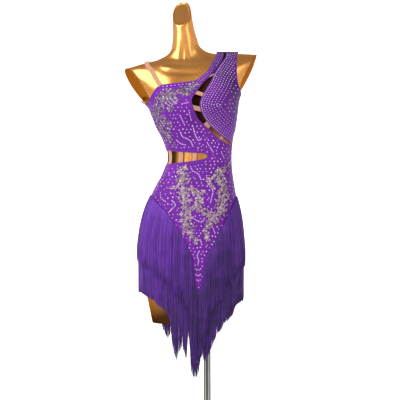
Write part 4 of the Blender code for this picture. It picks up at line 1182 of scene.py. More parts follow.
def make_band(name, corners, tuck):
    """A net between two low and two high places, straight in turn and v, longer at each end."""
    low_a, low_b, high_a, high_b = (np.array(corner, float) for corner in corners)
    across = np.linspace(0, 1, BAND_COLUMNS)[None, :, None]
    along = np.linspace(-tuck, 1 + tuck, BAND_ROWS)[:, None, None]
    low, high = low_a + (low_b - low_a) * across, high_a + (high_b - high_a) * across
    place = low * (1 - along) + high * along
    bare = np.clip(np.minimum(along, 1 - along)[..., 0] / max(tuck, 0.05), -1.0, 1.0)
    off = np.broadcast_to(0.00005 + bare * (ELASTIC_LIFT - 0.0001), place.shape[:2])
    points = cloth(place[..., 0], place[..., 1], off)
    row, column = BAND_ROWS // 2, BAND_COLUMNS // 2
    wide = np.linalg.norm(points[row, -1] - points[row, 0])
    tall = np.linalg.norm(points[-1, column] - points[0, column])
    uv = np.meshgrid(np.linspace(0, wide, BAND_COLUMNS), np.linspace(0, tall, BAND_ROWS))
    uv = np.stack(uv[::-1] if wide > tall else uv, axis=-1)
    piece = net_piece(name + "_ribbed", points, net_faces(BAND_ROWS, BAND_COLUMNS), ELASTIC,
                      "nude_elastic", uv, [name])
    give_wall(piece, ELASTIC_WALL * 0.8, 1.0)


# %% The elastics over the keyhole and the cut-out
KEYHOLE_BRIDGES = (  # height on the left edge, height on the right edge, width, gap at the ends
    (1.325, 1.333, 0.007, 0.0015),
    (1.276, 1.269, 0.010, 0.0013),
    (1.232, 1.227, 0.014, 0.0013),
    (1.178, 1.186, 0.013, 0.0013),
    (1.141, 1.149, 0.005, 0.0011),
)
WAIST_STRAPS = (  # name, on the front, left x, right x
    ("waist_strap_side", True, -0.1165, -0.1070), ("waist_strap_middle", True, -0.0850, -0.0720),
    ("waist_strap_inner", True, -0.0440, -0.0320), ("waist_strap_back", False, -0.0850, -0.0720),
)


def make_bridges():
    for number, (z_left, z_right, width, gap) in enumerate(KEYHOLE_BRIDGES, 1):
        corners = []
        for rise in (-width / 2, width / 2):
            left = np.array((on_line(KEYHOLE_LEFT, z=z_left + rise), z_left + rise))
            right = np.array((on_line(KEYHOLE_RIGHT, z=z_right + rise), z_right + rise))
            inset = (right - left) / np.linalg.norm(right - left) * gap
            for x, z in (left + inset, right - inset):
                turn, v = find(x, z)
                corners.append((float(turn), float(v)))
        low_a, low_b, high_a, high_b = corners
        make_band(f"keyhole_bridge_{number}", (high_a, low_a, high_b, low_b), 0.22)


def make_waist_straps():
    for name, front, x_left, x_right in WAIST_STRAPS:
        corners = []
        for edge, inset in ((CUTOUT_LOW, EDGE_GAP), (CUTOUT_TOP, -EDGE_GAP)):
            pair = [tuple(map(float, find(x, on_line(edge, x=x) + inset, front)))
                    for x in (x_left, x_right)]
            corners += pair if front else pair[::-1]
        make_band(name, corners, 0.14)


make_bridges()
make_waist_straps()

# %% The two loose straps
SHOULDER_STRAP = (  # turn in degrees, v
    (119.5, 12.80), (118.4, 14.40), (121.8, 15.50), (134.5, 16.65), (157.0, 17.35), (180.0, 17.48),
    (212.0, 17.20), (238.0, 16.00), (241.0, 14.40), (238.0, 12.60), (236.0, 11.47),
)
UNDERARM_STRAP = ((163.0, 11.53), (172.0, 11.86), (180.0, 11.98), (188.0, 11.86), (197.0, 11.54))
LOOSE_STRAP_CLEAR = 0.0019


def make_loose_strap(name, path, width):
    """A rounded flat profile carried along a smooth line in turn and v, a little off the body."""
    line = smooth_line([(math.radians(turn), v) for turn, v in path], 16)
    middle = cloth(line[:, 0], line[:, 1], LOOSE_STRAP_CLEAR)
    out = outward(line[:, 0], line[:, 1])
    aside = unit(np.cross(out, unit(np.gradient(middle, axis=0))))
    around = circle(28)
    flat = np.sign(np.cos(around)) * np.abs(np.cos(around)) ** 0.8 * width / 2
    thick = np.sign(np.sin(around)) * np.abs(np.sin(around)) ** 0.35 * ELASTIC_WALL / 2
    profile = np.stack([flat, thick + ELASTIC_WALL / 2], axis=-1)
    net = closed_ends(carried(middle, aside, out, profile))
    along = lengths_along(middle)
    along = np.concatenate([along[:1], along, along[-1:]])
    uv = np.stack(np.broadcast_arrays(flat[None, :], along[:, None]), axis=-1)
    faces = net_faces(*net.shape[:2], close_columns=True)
    tidy_normals(net_piece(name + "_ribbed", net, faces, ELASTIC, "nude_elastic", uv, [name]))


make_loose_strap("shoulder_strap", SHOULDER_STRAP, 0.014)
make_loose_strap("underarm_strap", UNDERARM_STRAP, 0.010)

# %% [markdown]
# ## The fringe
# Latin fringe is hundreds of silky threads sewn to a narrow tape, looped at the bottom. It hangs
# in front and behind from the V seam in two rows, a long one and a shorter one over it. Hair
# particles would be one way, but they can't be exported as they stand. So every thread is a thin
# three-sided tube, and all of them are worked out in one array: thread by ring by side. They
# gather into locks, and the locks into pointed clumps.

# %% Threads
LOCKS_A_ROW, LAYER_GAP, LOCK_WALL, TAPE_HEIGHT = 36, 0.0005, 0.0015, 0.008
LONG_SWING, SHORT_SWING, SHORT_LENGTH = 0.0030, 0.0048, 0.190
# Tips and notches of the two long rows as seen from the front: x, z.
FRONT_HEM = (
    (-0.206, 0.692), (-0.179, 0.674), (-0.143, 0.650), (-0.119, 0.626), (-0.110, 0.604),
    (-0.1065, 0.572), (-0.1045, 0.546), (-0.101, 0.518), (-0.096, 0.498), (-0.090, 0.487),
    (-0.086, 0.504), (-0.0752, 0.526), (-0.070, 0.514), (-0.0625, 0.487), (-0.0595, 0.500),
    (-0.058, 0.535), (-0.0565, 0.560), (-0.0535, 0.543), (-0.051, 0.505), (-0.0495, 0.468),
    (-0.046, 0.450), (-0.040, 0.4385), (-0.030, 0.4385), (-0.0244, 0.463), (-0.0183, 0.502),
    (-0.015, 0.500), (-0.0123, 0.483), (-0.003, 0.486), (0.0038, 0.506), (0.0125, 0.522),
    (0.0186, 0.540), (0.0270, 0.560), (0.0363, 0.571), (0.0460, 0.589), (0.0580, 0.606),
    (0.0699, 0.613), (0.0779, 0.640), (0.106, 0.664),
)
BACK_HEM = (
    (-0.209, 0.690), (-0.170, 0.655), (-0.151, 0.612), (-0.1435, 0.588), (-0.135, 0.556),
    (-0.120, 0.527), (-0.112, 0.545), (-0.100, 0.575), (-0.085, 0.560), (-0.070, 0.600),
    (-0.055, 0.566), (-0.040, 0.548), (-0.025, 0.560), (0.000, 0.585), (0.020, 0.600),
    (0.050, 0.625), (0.106, 0.670),
)
LOWEST_TIP = 0.4385
PARTING_X, PARTING_WIDE = -0.0300, 0.0035
THREADS_A_ROW, THREAD_RINGS, THREAD_SIDES, THREAD_RADIUS = 1300, 10, 3, 0.00088
ROWS = {  # long or short: depth of its layer, swing, pull to the lock's middle, ragged ends
    True: (0.0026, LONG_SWING, 0.02, 0.0028), False: (0.0030, SHORT_SWING, 0.08, 0.0095),
}
LOCK_DROP, STRAY, THREAD_WAVE = 0.0045, (0.0045, 0.0030), 0.0006
# Threads at the parting lie deeper, and painted shade makes them darker.
PARTING_DEEP, PARTING_SHADE = 0.0024, 1.5
STREAKS, STREAK_TONE, THREAD_TONE, LOCK_TONE = 170, 0.78, 0.16, 0.2
SIDE_X, SIDE_WIDE, SIDE_SHADE = -0.13, 0.13, 0.44
LOW_FROM, LOW_DEEP, LOW_SHADE, MOST_SHADE = 0.90, 0.34, 0.77, 0.88


def hanging_point(turn, z, off):
    """A point of the fringe's fall, which goes straight down below the lowest ring."""
    turn, z = np.broadcast_arrays(np.asarray(turn, float), np.asarray(z, float))
    point = cloth(turn, v_of_height(np.maximum(z, TRUNK[0][0])), off)
    point[..., 2] = z
    return point


def seam_height(turn, front):
    """The height at which the fringe seam crosses each turn, by halving the interval."""
    low, high = np.full(turn.shape, TRUNK[0][0] + 0.01), np.full(turn.shape, 1.0)
    for _ in range(24):
        middle = (low + high) / 2
        under = middle < hem_height(cloth(turn, v_of_height(middle))[..., 0], front)
        low, high = np.where(under, middle, low), np.where(under, high, middle)
    return low


FRINGE_THREAD = thread_finish("fringe_thread", (0.014, 0.002, 0.062), (0.192, 0.025, 0.540))


def make_fringe_row(name, front, long, seed):
    """Threads by rings by sides. A thread's turn slides a little towards the middle of its lock
    by a power of the way down; a long thread ends at the hem's height for the x where it ends up,
    a short one a set length below the seam; its distance from the body is its layer's, plus the
    row's swing, plus a small slow wave. Threads at the parting lie deeper, and painted shade makes
    them darker. A thread's tone is its own, its streak's and its lock's added up, and painted shade
    makes it darker low down and, in front, towards the right."""
    rng = np.random.default_rng(seed)
    layer_deep, row_swing, row_pull, ragged = ROWS[long]
    start = (0.0 if front else math.pi) + 2 * SEAM_TURN
    sweep = math.pi - 4 * SEAM_TURN
    count = THREADS_A_ROW
    share = (np.arange(count) + rng.uniform(-0.25, 0.25, count) + 0.5) / count
    turn = start + sweep * share
    pitch = sweep / LOCKS_A_ROW
    lock = np.clip((share * LOCKS_A_ROW).astype(int), 0, LOCKS_A_ROW - 1)
    lock_middle = start + (lock + 0.5 + rng.uniform(-0.25, 0.25, LOCKS_A_ROW)[lock]) * pitch
    seam = seam_height(turn, front)
    lock_drop = rng.normal(0.0, LOCK_DROP, LOCKS_A_ROW)[lock]
    down = np.linspace(0, 1, THREAD_RINGS)[None, :]
    pull = row_pull * rng.uniform(0.4, 1.6, LOCKS_A_ROW)[lock][:, None]
    place = turn[:, None] + (lock_middle - turn)[:, None] * pull * down**2.2
    stray = rng.normal(0, STRAY[0], (count, 1)) * down
    stray = stray + rng.normal(0, STRAY[1], (count, 1)) * np.sin(
        down * rng.uniform(4, 9, (count, 1)) + rng.uniform(0, 6, (count, 1))) * down**0.5
    place = np.clip(place + stray, start - SEAM_TURN, start + sweep + SEAM_TURN)
    end_x = hanging_point(place[:, -1], TRUNK[0][0], 0.0)[:, 0]
    if long:
        tip = np.interp(end_x, *np.array(FRONT_HEM if front else BACK_HEM).T)
        tip = tip + lock_drop * 0.5 + np.abs(rng.normal(0, ragged, count))
    else:
        tip = seam - SHORT_LENGTH + lock_drop * 1.5 + rng.normal(0, ragged, count)
    tip = np.maximum(tip, LOWEST_TIP)
    z = (seam + 0.001)[:, None] * (1 - down) + tip[:, None] * down
    base = CLOTH_WALL + LAYER_GAP + (0.0 if long else LOCK_WALL + LAYER_GAP) + 0.0006
    layer = rng.uniform(0.0, 1.0, (count, 1)) * layer_deep
    swing = row_swing * (1 - (1 - down) ** 2)
    wave = np.sin(down * rng.uniform(5, 12, (count, 1)) + rng.uniform(0, 6, (count, 1)))
    parted = np.clip(1 - np.abs(end_x - PARTING_X) / PARTING_WIDE, 0.0, 1.0) * front
    swing = swing - PARTING_DEEP * parted[:, None] * down
    off = base + layer * np.minimum(down * 6, 1) + swing + THREAD_WAVE * wave * down
    middle = hanging_point(place, z, off)
    out = unit(outward(place, v_of_height(np.maximum(z, TRUNK[0][0]))) * [1, 1, 0])
    aside = np.cross(out, [0.0, 0.0, 1.0])
    around = np.arange(THREAD_SIDES) * math.tau / THREAD_SIDES
    phase = rng.uniform(0, math.tau, (count, 1, 1)) + around
    radius = THREAD_RADIUS * np.interp(down[0], [0, 0.97, 1.0], [1, 1, 0.35])[None, :, None, None]
    ring = out[:, :, None] * np.cos(phase)[..., None] + aside[:, :, None] * np.sin(phase)[..., None]
    net = middle[:, :, None] + ring * radius
    faces = many(net_faces(THREAD_RINGS, THREAD_SIDES, close_columns=True), count)
    streak = rng.uniform(0, STREAK_TONE, STREAKS)[(share * STREAKS).astype(int) % STREAKS]
    tone = rng.uniform(0, THREAD_TONE, count) + streak
    tone = tone + rng.uniform(0, LOCK_TONE, LOCKS_A_ROW)[lock]
    # Painted shade: darker towards the right in front, and the lower down.
    painted_side_shade = np.clip((end_x - SIDE_X) / SIDE_WIDE, 0, 1)[:, None] * SIDE_SHADE * front
    low = np.clip((LOW_FROM - z) / LOW_DEEP, 0, 1) * LOW_SHADE
    tone = np.clip((tone - parted * PARTING_SHADE)[:, None], 0, 1)
    tone = tone * (1 - np.minimum(painted_side_shade + low, MOST_SHADE))
    uv = np.stack([tone[:, :, None], -z[:, :, None]], axis=-1)
    tidy_normals(net_piece(name + "_threads", net, faces, FRINGE_THREAD, "purple_fringe", uv,
                           [name]))


for seed, (name, front, long) in enumerate((
        ("fringe_front_long", True, True), ("fringe_front_short", True, False),
        ("fringe_back_long", False, True), ("fringe_back_short", False, False)), 11):
    make_fringe_row(name, front, long, seed)

# %% The tape along the seam
def make_tape():
    """A flat band below the seam whose surface swells over each loop of thread; the swelling is
    the square of a sine along it."""
    nets = []
    for front in (True, False):
        start = 0.0 if front else math.pi
        turn = np.linspace(start + SEAM_TURN, start + math.pi - SEAM_TURN, 420)
        seam = seam_height(turn, front)
        around = circle(8)
        base = CLOTH_WALL + LOCK_WALL + LAYER_GAP
        drop = TAPE_HEIGHT * (0.42 - 0.52 * np.cos(around))
        swell = 0.0018 + 0.0005 * np.sin(np.arange(len(turn)) * 0.9) ** 2
        off = base + np.sin(around)[None, :] * swell[:, None]
        z = seam[:, None] - drop[None, :]
        nets.append(closed_ends(hanging_point(turn[:, None], z, off)))
    tidy_normals(net_piece("fringe_tape", *joined(nets), BINDING, "purple_fringe"))


make_tape()

# %% [markdown]
# ## The lace
# The motifs are guipure: heavy thread embroidered on a web that is washed away, so only stems,
# leaves and flowers are left. A picture with holes would look flat from the side. Here a motif
# is built as it is embroidered: a corded stem, curls that leave it, five-petalled flowers with
# satin petals inside a raised cord, and pointed leaves. Each is drawn flat round its own centre,
# and the steepness of the cloth there turns its steps to the right and up into steps of turn
# and v, so that flowers near the side don't stretch.

# %% Placing small flat drawings on the cloth
def patch(centre_turn, centre_v, a, b, off):
    """Points a to the right and b up from each centre: b is shared out to v by the part of its
    step that climbs, and a, less what that step already moves sideways, to turn."""
    by_turn, by_v = steepness(centre_turn, centre_v)
    right = -unit(by_turn)
    slant = (by_v * right).sum(-1)
    climb = np.linalg.norm(by_v - right * slant[..., None], axis=-1)
    wide = np.linalg.norm(by_turn, axis=-1)
    room = (slice(None),) + (None,) * (np.ndim(a) - 1)
    step_v = b / climb[room]
    step_turn = -(a - step_v * slant[room]) / wide[room]
    return on_cloth(centre_turn[room] + step_turn, centre_v[room] + step_v, off, FRONT_CREASES)


def tubes(paths, out, radius, sides, closed=False):
    """Round cords along many paths at once: at each step one axis is out, the other across."""
    if closed:
        ahead = np.roll(paths, -1, axis=1) - np.roll(paths, 1, axis=1)
    else:
        ahead = np.gradient(paths, axis=1)
    aside = unit(np.cross(out, unit(ahead)))
    around = circle(sides)
    across, up = np.cos(around)[:, None], np.sin(around)[:, None]
    ring = aside[..., None, :] * across + out[..., None, :] * up
    radius = np.broadcast_to(radius, paths.shape[:2])
    return paths[:, :, None] + ring * radius[..., None, None]


LACE_SPRAYS = {  # each spray: x, z and half width along its stem
    "lace_bust": (
        ((-0.030, 1.303, 0.008), (-0.052, 1.286, 0.016), (-0.078, 1.276, 0.020),
         (-0.106, 1.270, 0.024), (-0.134, 1.244, 0.026), (-0.143, 1.206, 0.024),
         (-0.130, 1.170, 0.020), (-0.112, 1.140, 0.015), (-0.104, 1.126, 0.010)),
        ((-0.093, 1.277, 0.008), (-0.098, 1.250, 0.011), (-0.110, 1.228, 0.008)),
        ((-0.138, 1.210, 0.008), (-0.118, 1.196, 0.010), (-0.108, 1.176, 0.008)),
    ),
    "lace_hip_left": (
        ((-0.063, 1.066, 0.007), (-0.069, 1.044, 0.015), (-0.070, 1.021, 0.021),
         (-0.076, 0.999, 0.021), (-0.070, 0.973, 0.018), (-0.063, 0.951, 0.015),
         (-0.063, 0.925, 0.018), (-0.063, 0.900, 0.019), (-0.059, 0.874, 0.018),
         (-0.047, 0.855, 0.013), (-0.035, 0.835, 0.008)),
        ((-0.060, 0.993, 0.010), (-0.032, 0.982, 0.014), (-0.024, 0.959, 0.013),
         (-0.032, 0.942, 0.014), (-0.016, 0.926, 0.012), (0.006, 0.914, 0.010)),
        ((-0.083, 0.999, 0.010), (-0.100, 0.993, 0.007), (-0.116, 0.995, 0.004)),
        ((-0.024, 0.980, 0.007), (-0.008, 0.986, 0.005)),
    ),
    "lace_hip_right": (
        ((0.066, 1.074, 0.005), (0.058, 1.060, 0.008), (0.039, 1.043, 0.014),
         (0.034, 1.021, 0.021), (0.041, 0.999, 0.022), (0.046, 0.976, 0.020),
         (0.041, 0.953, 0.020), (0.036, 0.934, 0.022), (0.020, 0.911, 0.017),
         (0.005, 0.891, 0.015), (-0.002, 0.872, 0.012), (-0.001, 0.850, 0.008),
         (-0.004, 0.837, 0.005)),
        ((0.018, 1.030, 0.006), (0.008, 1.014, 0.008), (0.016, 0.998, 0.008)),
    ),
}
LACE_LIFT = CLOTH_WALL + 0.0004
CORD_RADIUS = 0.00055
NODE_PITCH, STEM_STEP = 0.0080, 0.0016
BLADE_ROWS, BLADE_COLUMNS = 5, 3
FLOWERS_TO, LEAVES_TO, CURLS_FROM = 0.34, 0.76, 0.64
PETALS, FLOWER_SIZES, LEAF_SIZES = 5, (0.0029, 0.0044), (0.0062, 0.0098)
PETAL_WIDE, LEAF_WIDE, PETAL_POINT, LEAF_POINT = 0.42, 0.20, 5.0, 1.6
CURL_SIZES, CURL_TURNS, STEM_TWIST, STEM_REACH = (0.0026, 0.0046), 1.35, 700, 0.0007


def lace_cloth():
    """Satin stitch by a sine, tarnish by noise and single painted glints, pale spots of painted
    highlight, by noise; the hips' thread is paler.
    """
    f = Finish("silver_grey_lace")
    across, along, _ = f.parts(f.place("UV"))
    place = f.place()
    _, _, z = f.parts(place)
    satin = (along * (math.tau / 0.0009) + across * 900.0).sine()
    tarnish = f.fit(f.noise(place, 90.0, 3.0), 0.38, 0.64)
    painted_glint = f.fit(f.noise(place, 420.0, 0.0), 0.56, 0.66)
    bust = f.mix(tarnish, (0.105, 0.078, 0.110), (0.34, 0.26, 0.30))
    hip = f.mix(tarnish, (0.26, 0.165, 0.185), (0.62, 0.46, 0.48))
    colour = f.mix(f.fit(z, 1.08, 1.13), hip, bust)
    # Painted highlight: pale spots mixed in as glints.
    colour = f.mix(painted_glint * 0.8, colour, (0.90, 0.82, 0.88))
    return f.shader(Base_Color=colour, Metallic=0.35, Roughness=f.fit(satin, -1.0, 1.0, 0.46, 0.28),
                    Normal=f.bump(satin, 0.0003, 0.5))


LACE_THREAD = lace_cloth()


def scatter(pitch, seed):
    """A staggered net: every other row is moved by half a step, and each place by a little."""
    rng = np.random.default_rng(seed)
    z, x = np.mgrid[0.66:1.42:pitch * 0.87, -0.22:0.14:pitch]
    x = x + (np.arange(len(x))[:, None] % 2) * pitch / 2
    places = np.column_stack([x.ravel(), z.ravel()])
    return places + rng.normal(0, pitch * 0.13, places.shape)


def within(line, places, margin, front=True):
    """The places inside an outline by a margin that the cloth really shows from its side."""
    places = places[signed_distance(line, places[:, 0], places[:, 1]) < -margin]
    seen = cloth(*find(places[:, 0], places[:, 1], front))
    miss = np.hypot(seen[:, 0] - places[:, 0], seen[:, 2] - places[:, 1])
    return places[miss < 0.0006]


def lace_nodes(sprays, rng, seed):
    """Places of a staggered net that lie nearer to a stem than its half width there, times a
    little chance, so that the edge is ragged: x, z, way out from the stem, and the stem's x, z."""
    stems = np.concatenate([resampled(smooth_line(spray, 8), 0.002) for spray in sprays])
    places = within(OUTLINES["front"], scatter(NODE_PITCH, seed), 0.0045)
    gaps = np.hypot(places[:, None, 0] - stems[None, :, 0], places[:, None, 1] - stems[None, :, 1])
    nearest = gaps.argmin(axis=1)
    kept = gaps.min(axis=1) < stems[nearest, 2] * rng.uniform(0.80, 1.15, len(places))
    kept &= rng.random(len(places)) > 0.06
    places, root = places[kept], stems[nearest[kept], :2]
    way_out = np.arctan2(places[:, 1] - root[:, 1], places[:, 0] - root[:, 0])
    return places[:, 0], places[:, 1], way_out + rng.normal(0, 0.5, len(places)), root


def petal_shape(radius, heading, share_out, share_across, wide, point):
    """A petal from its centre: along it by the share out, and across by the root of that share
    times the root of one less its own high power, so that it is narrow inside, round outside."""
    half = wide * radius * share_out**0.6 * np.sqrt(np.clip(1 - share_out**point, 0, 1))
    along, across = radius * share_out, half * share_across
    a = along * np.cos(heading) - across * np.sin(heading)
    b = along * np.sin(heading) + across * np.cos(heading)
    return a, b


def make_lace(name, sprays, seed):
    """The blades and the cords of one motif; gives the places of all its nodes, and its flowers
    with their sizes."""
    rng = np.random.default_rng(seed)
    x, z, way_out, root = lace_nodes(sprays, rng, seed)
    kind = rng.random(len(x))
    flower, curly = kind < FLOWERS_TO, kind >= CURLS_FROM
    leafy = ~flower & (kind < LEAVES_TO)
    fx, fz = x[flower], z[flower]
    flower_size = rng.uniform(*FLOWER_SIZES, len(fx))
    back = rng.uniform(0.002, 0.0045, leafy.sum())
    lx, lz = x[leafy] - np.cos(way_out[leafy]) * back, z[leafy] - np.sin(way_out[leafy]) * back
    leaf_size = rng.uniform(*LEAF_SIZES, (len(lx), 2))

    # Petals and leaves are one list of blades: centre, length, heading, width, pointedness.
    fan = np.arange(PETALS) * math.tau / PETALS
    petal_heading = rng.uniform(0, math.tau, len(fx))[:, None] + fan
    leaf_heading = way_out[leafy][:, None] + rng.normal([0.55, -0.55], 0.25, (len(lx), 2))
    centre_x = np.concatenate([np.repeat(fx, PETALS), np.repeat(lx, 2)])
    centre_z = np.concatenate([np.repeat(fz, PETALS), np.repeat(lz, 2)])
    length = np.concatenate([np.repeat(flower_size, PETALS), leaf_size.ravel()])
    blade_heading = np.concatenate([petal_heading.ravel(), leaf_heading.ravel()])
    is_petal = np.arange(len(length)) < len(fx) * PETALS
    wide = np.where(is_petal, PETAL_WIDE, LEAF_WIDE)
    point = np.where(is_petal, PETAL_POINT, LEAF_POINT)
    turn, v = find(centre_x, centre_z)
    column = (slice(None), None, None)
    out_share = np.linspace(0.12, 0.985, BLADE_ROWS)[None, :, None]
    across = np.linspace(-1, 1, BLADE_COLUMNS)[None, None, :]
    a, b = petal_shape(length[column], blade_heading[column], out_share, across, wide[column],
                       point[column])
    dome = 0.0009 * (1 - across**2) * np.sin(math.pi * out_share) + 0.0003 * out_share
    blades = patch(turn, v, a, b, LACE_LIFT + dome)
    uv = np.stack(np.broadcast_arrays(across * 0.003, out_share * length[column]), axis=-1)
    faces = many(net_faces(BLADE_ROWS, BLADE_COLUMNS), len(blades))
    leaves = net_piece(name + "_petals", blades, faces, LACE_THREAD, "silver_grey_lace", uv,
                       [name])
    give_wall(leaves, 0.0004, -1.0)

    # A raised cord round each blade.
    loop = circle(12)[None, :]
    out_share = 0.05 + 0.475 * (1 - np.cos(loop))
    edge = np.sign(np.sin(loop)) * np.abs(np.sin(loop)) ** 0.25
    line = (slice(None), None)
    a, b = petal_shape(length[line], blade_heading[line], out_share, edge, wide[line], point[line])
    paths = patch(turn, v, a, b, LACE_LIFT + CORD_RADIUS * 0.7)
    cords = [tubes(paths, outward(turn, v)[:, None], CORD_RADIUS * 0.85, 3, closed=True)]

    # Curls: a spiral that winds in, its radius falling evenly to a fifth.
    wind = np.linspace(0, 1, 18)[None, :]
    turn, v = find(x[curly], z[curly])
    hand = rng.choice([-1.0, 1.0], (curly.sum(), 1))
    reach = rng.uniform(*CURL_SIZES, (curly.sum(), 1)) * (1 - 0.8 * wind)
    angle = way_out[curly][:, None] + hand * wind * math.tau * CURL_TURNS
    a, b = reach * np.cos(angle), reach * np.sin(angle)
    curls = patch(turn, v, a, b, LACE_LIFT + CORD_RADIUS * 0.8)
    cords.append(tubes(curls, outward(turn, v)[:, None], CORD_RADIUS * (1.1 - 0.4 * wind), 4))

    # Veins: from the stem to each place, bowed by a sine.
    share = np.linspace(0, 1, 7)[None, :, None]
    ends = np.column_stack([x, z])
    far = np.hypot(*(ends - root).T) > 0.004
    start, ends = root[far][:, None], ends[far][:, None]
    across = (ends - start) @ np.array([[0.0, 1.0], [-1.0, 0.0]])
    bow = np.sin(math.pi * share) * rng.normal(0, 0.22, (far.sum(), 1, 1))
    line = start + (ends - start) * share + across * bow
    turn, v = find(line[..., 0], line[..., 1])
    veins = on_cloth(turn, v, LACE_LIFT + CORD_RADIUS, FRONT_CREASES)
    cords.append(tubes(veins, outward(turn, v), CORD_RADIUS * 0.85, 4))

    # The stems themselves, as two cords that twist round each other.
    for spray in sprays:
        even = resampled(smooth_line(spray, 8), STEM_STEP)
        turn, v = find(even[:, 0], even[:, 1])
        for phase in (0.0, math.pi):
            way = np.arange(len(even))[:, None] * STEM_STEP * STEM_TWIST + phase
            a, b = STEM_REACH * np.cos(way), STEM_REACH * np.sin(way)
            path = patch(turn, v, a, b * 0.5, LACE_LIFT + 0.0009 + b * 0.5)[:, 0][None]
            cords.append(tubes(path, outward(turn, v)[None], CORD_RADIUS * 1.1, 5))

    points, faces = joined(cords, rims=1)
    uv = np.column_stack([points[:, 0] * 0.3, points[:, 2] - points[:, 0]])
    tidy_normals(net_piece(name + "_cords", points, faces, LACE_THREAD, "silver_grey_lace", uv))
    return np.column_stack([x, z]), np.column_stack([fx, fz, flower_size])


motifs = [make_lace(name, sprays, seed)
          for seed, (name, sprays) in enumerate(LACE_SPRAYS.items(), 31)]
LACE_PLACES, FLOWERS = (np.concatenate(arrays) for arrays in zip(*motifs))

# %% [markdown]
# ## Crystals
# Flat-backed glass stones are glued on by hand: close rows along the keyhole, where they shade
# off into single stones, bent rows that follow the body, and a loose scatter over the rest. A
# stone is a foiled glass dome with facets, here forty triangles: a low wall, two rings of
# facets and a flat table. Random places would clump, so the scatter is a net with some play.

# %% The finish and the cut of a stone
def crystal():
    f = Finish("crystal")
    tone, _, _ = f.parts(f.place("UV"))
    foil = f.fit(f.noise(f.place(), 420.0, 1.0), 0.3, 0.7)
    colour = f.mix(tone, (0.62, 0.42, 0.80), (0.96, 0.86, 0.98))
    colour = f.mix(foil * 0.35, colour, (0.98, 0.70, 0.92))
    return f.shader(Base_Color=colour, Metallic=0.22, Roughness=f.fit(foil, 0.0, 1.0, 0.05, 0.12),
                    Coat_Weight=0.8, Coat_Roughness=0.02)


CRYSTAL = crystal()


STONE_RINGS = ((0, 0.98, -0.12), (0, 1.0, 0.14), (1, 0.62, 0.50))  # turned by, radius, height


def stone_cut(sides=8):
    """Points and triangles of one stone of unit radius: two rings of its wall, a crown ring that
    is turned by half a side, and the middle of the table."""
    k = np.arange(sides)
    points = []
    for half_sides, radius, rise in STONE_RINGS:
        turn = k * math.tau / sides + half_sides * math.pi / sides
        points.append(np.column_stack([
            radius * np.cos(turn), radius * np.sin(turn), np.full(sides, rise)]))
    points = np.concatenate([*points, [[0.0, 0.0, rise]]])
    k2 = (k + 1) % sides
    low, wall, crown = k, k + sides, k + 2 * sides
    low2, wall2, crown2 = k2, k2 + sides, k2 + 2 * sides
    faces = [(low, low2, wall2), (low, wall2, wall), (wall, wall2, crown), (crown, wall2, crown2),
             (crown, crown2, np.full(sides, 3 * sides))]
    return points, np.concatenate([np.column_stack(f) for f in faces])


def set_stones(name, x, z, size, front, creases, lift, seed):
    """Stones of the given diameters on the cloth, each turned by its own random angle."""
    rng = np.random.default_rng(seed)
    turn, v = find(x, z, front)
    points, faces = stone_cut()
    spin = rng.uniform(0, math.pi, len(turn))[:, None]
    a = (points[:, 0] * np.cos(spin) - points[:, 1] * np.sin(spin)) * size[:, None] / 2
    b = (points[:, 0] * np.sin(spin) + points[:, 1] * np.cos(spin)) * size[:, None] / 2
    by_turn, by_v = steepness(turn, v)
    right, out = -unit(by_turn), outward(turn, v)
    up = np.cross(out, right)
    seat = on_cloth(turn, v, lift, creases)
    rise = points[:, 2][None] * size[:, None] / 2
    net = (seat[:, None] + right[:, None] * a[..., None] + up[:, None] * b[..., None]
           + out[:, None] * rise[..., None])
    uv = rng.random(len(turn))[:, None, None]
    net_piece(name, net, many(faces, len(turn)), CRYSTAL, "silver_grey_lace", uv, smooth=False)


# %% Where the stones go
BENT_ROWS = (  # rows that follow the body, x and z
    ((-0.079, 1.161), (-0.073, 1.148), (-0.060, 1.142), (-0.049, 1.134), (-0.043, 1.120)),
    ((-0.091, 1.138), (-0.079, 1.128), (-0.065, 1.124)),
    ((-0.041, 1.173), (-0.036, 1.154), (-0.026, 1.137), (-0.018, 1.142)),
    ((0.000, 1.130), (0.009, 1.114), (0.017, 1.103)), ((0.041, 1.103), (0.049, 1.085)),
    ((-0.054, 1.223), (-0.048, 1.197)), ((-0.080, 1.210), (-0.067, 1.183)),
    ((-0.074, 1.242), (-0.057, 1.246)),
    ((-0.049, 1.058), (-0.043, 1.046), (-0.028, 1.038), (-0.019, 1.021)),
    ((-0.002, 1.032), (0.000, 1.013), (0.008, 1.001), (0.016, 0.986), (0.013, 0.970),
     (0.009, 0.952)),
    ((-0.139, 0.982), (-0.137, 0.966), (-0.125, 0.956)),
    ((-0.104, 0.958), (-0.094, 0.945), (-0.104, 0.934), (-0.114, 0.923)),
    ((-0.049, 0.914), (-0.035, 0.902), (-0.017, 0.895), (-0.009, 0.906)),
    ((0.015, 0.880), (0.022, 0.862)), ((-0.021, 0.842), (-0.016, 0.828)),
    ((-0.024, 0.809), (-0.030, 0.795), (-0.026, 0.783), (-0.028, 0.769)),
    ((-0.036, 0.757), (-0.028, 0.753), (-0.020, 0.757)),
    ((-0.034, 0.740), (-0.028, 0.736), (-0.021, 0.740)),
    ((-0.031, 0.724), (-0.027, 0.721), (-0.022, 0.724)),
)


def beside(line, distance):
    """A line moved sideways in the drawing by a distance, to the right of its heading."""
    fine = smooth_line(line)
    ahead = unit(np.gradient(fine, axis=0))
    return fine + np.column_stack([ahead[:, 1], -ahead[:, 0]]) * distance


def row_places(lines, pitches):
    return np.concatenate([resampled(line, pitch) for line, pitch in zip(lines, pitches)])


def apart(places, others, distance):
    """The places that lie further than a distance from all others."""
    gap = np.hypot(places[:, None, 0] - others[None, :, 0], places[:, None, 1] - others[None, :, 1])
    return places[gap.min(axis=1) > distance]


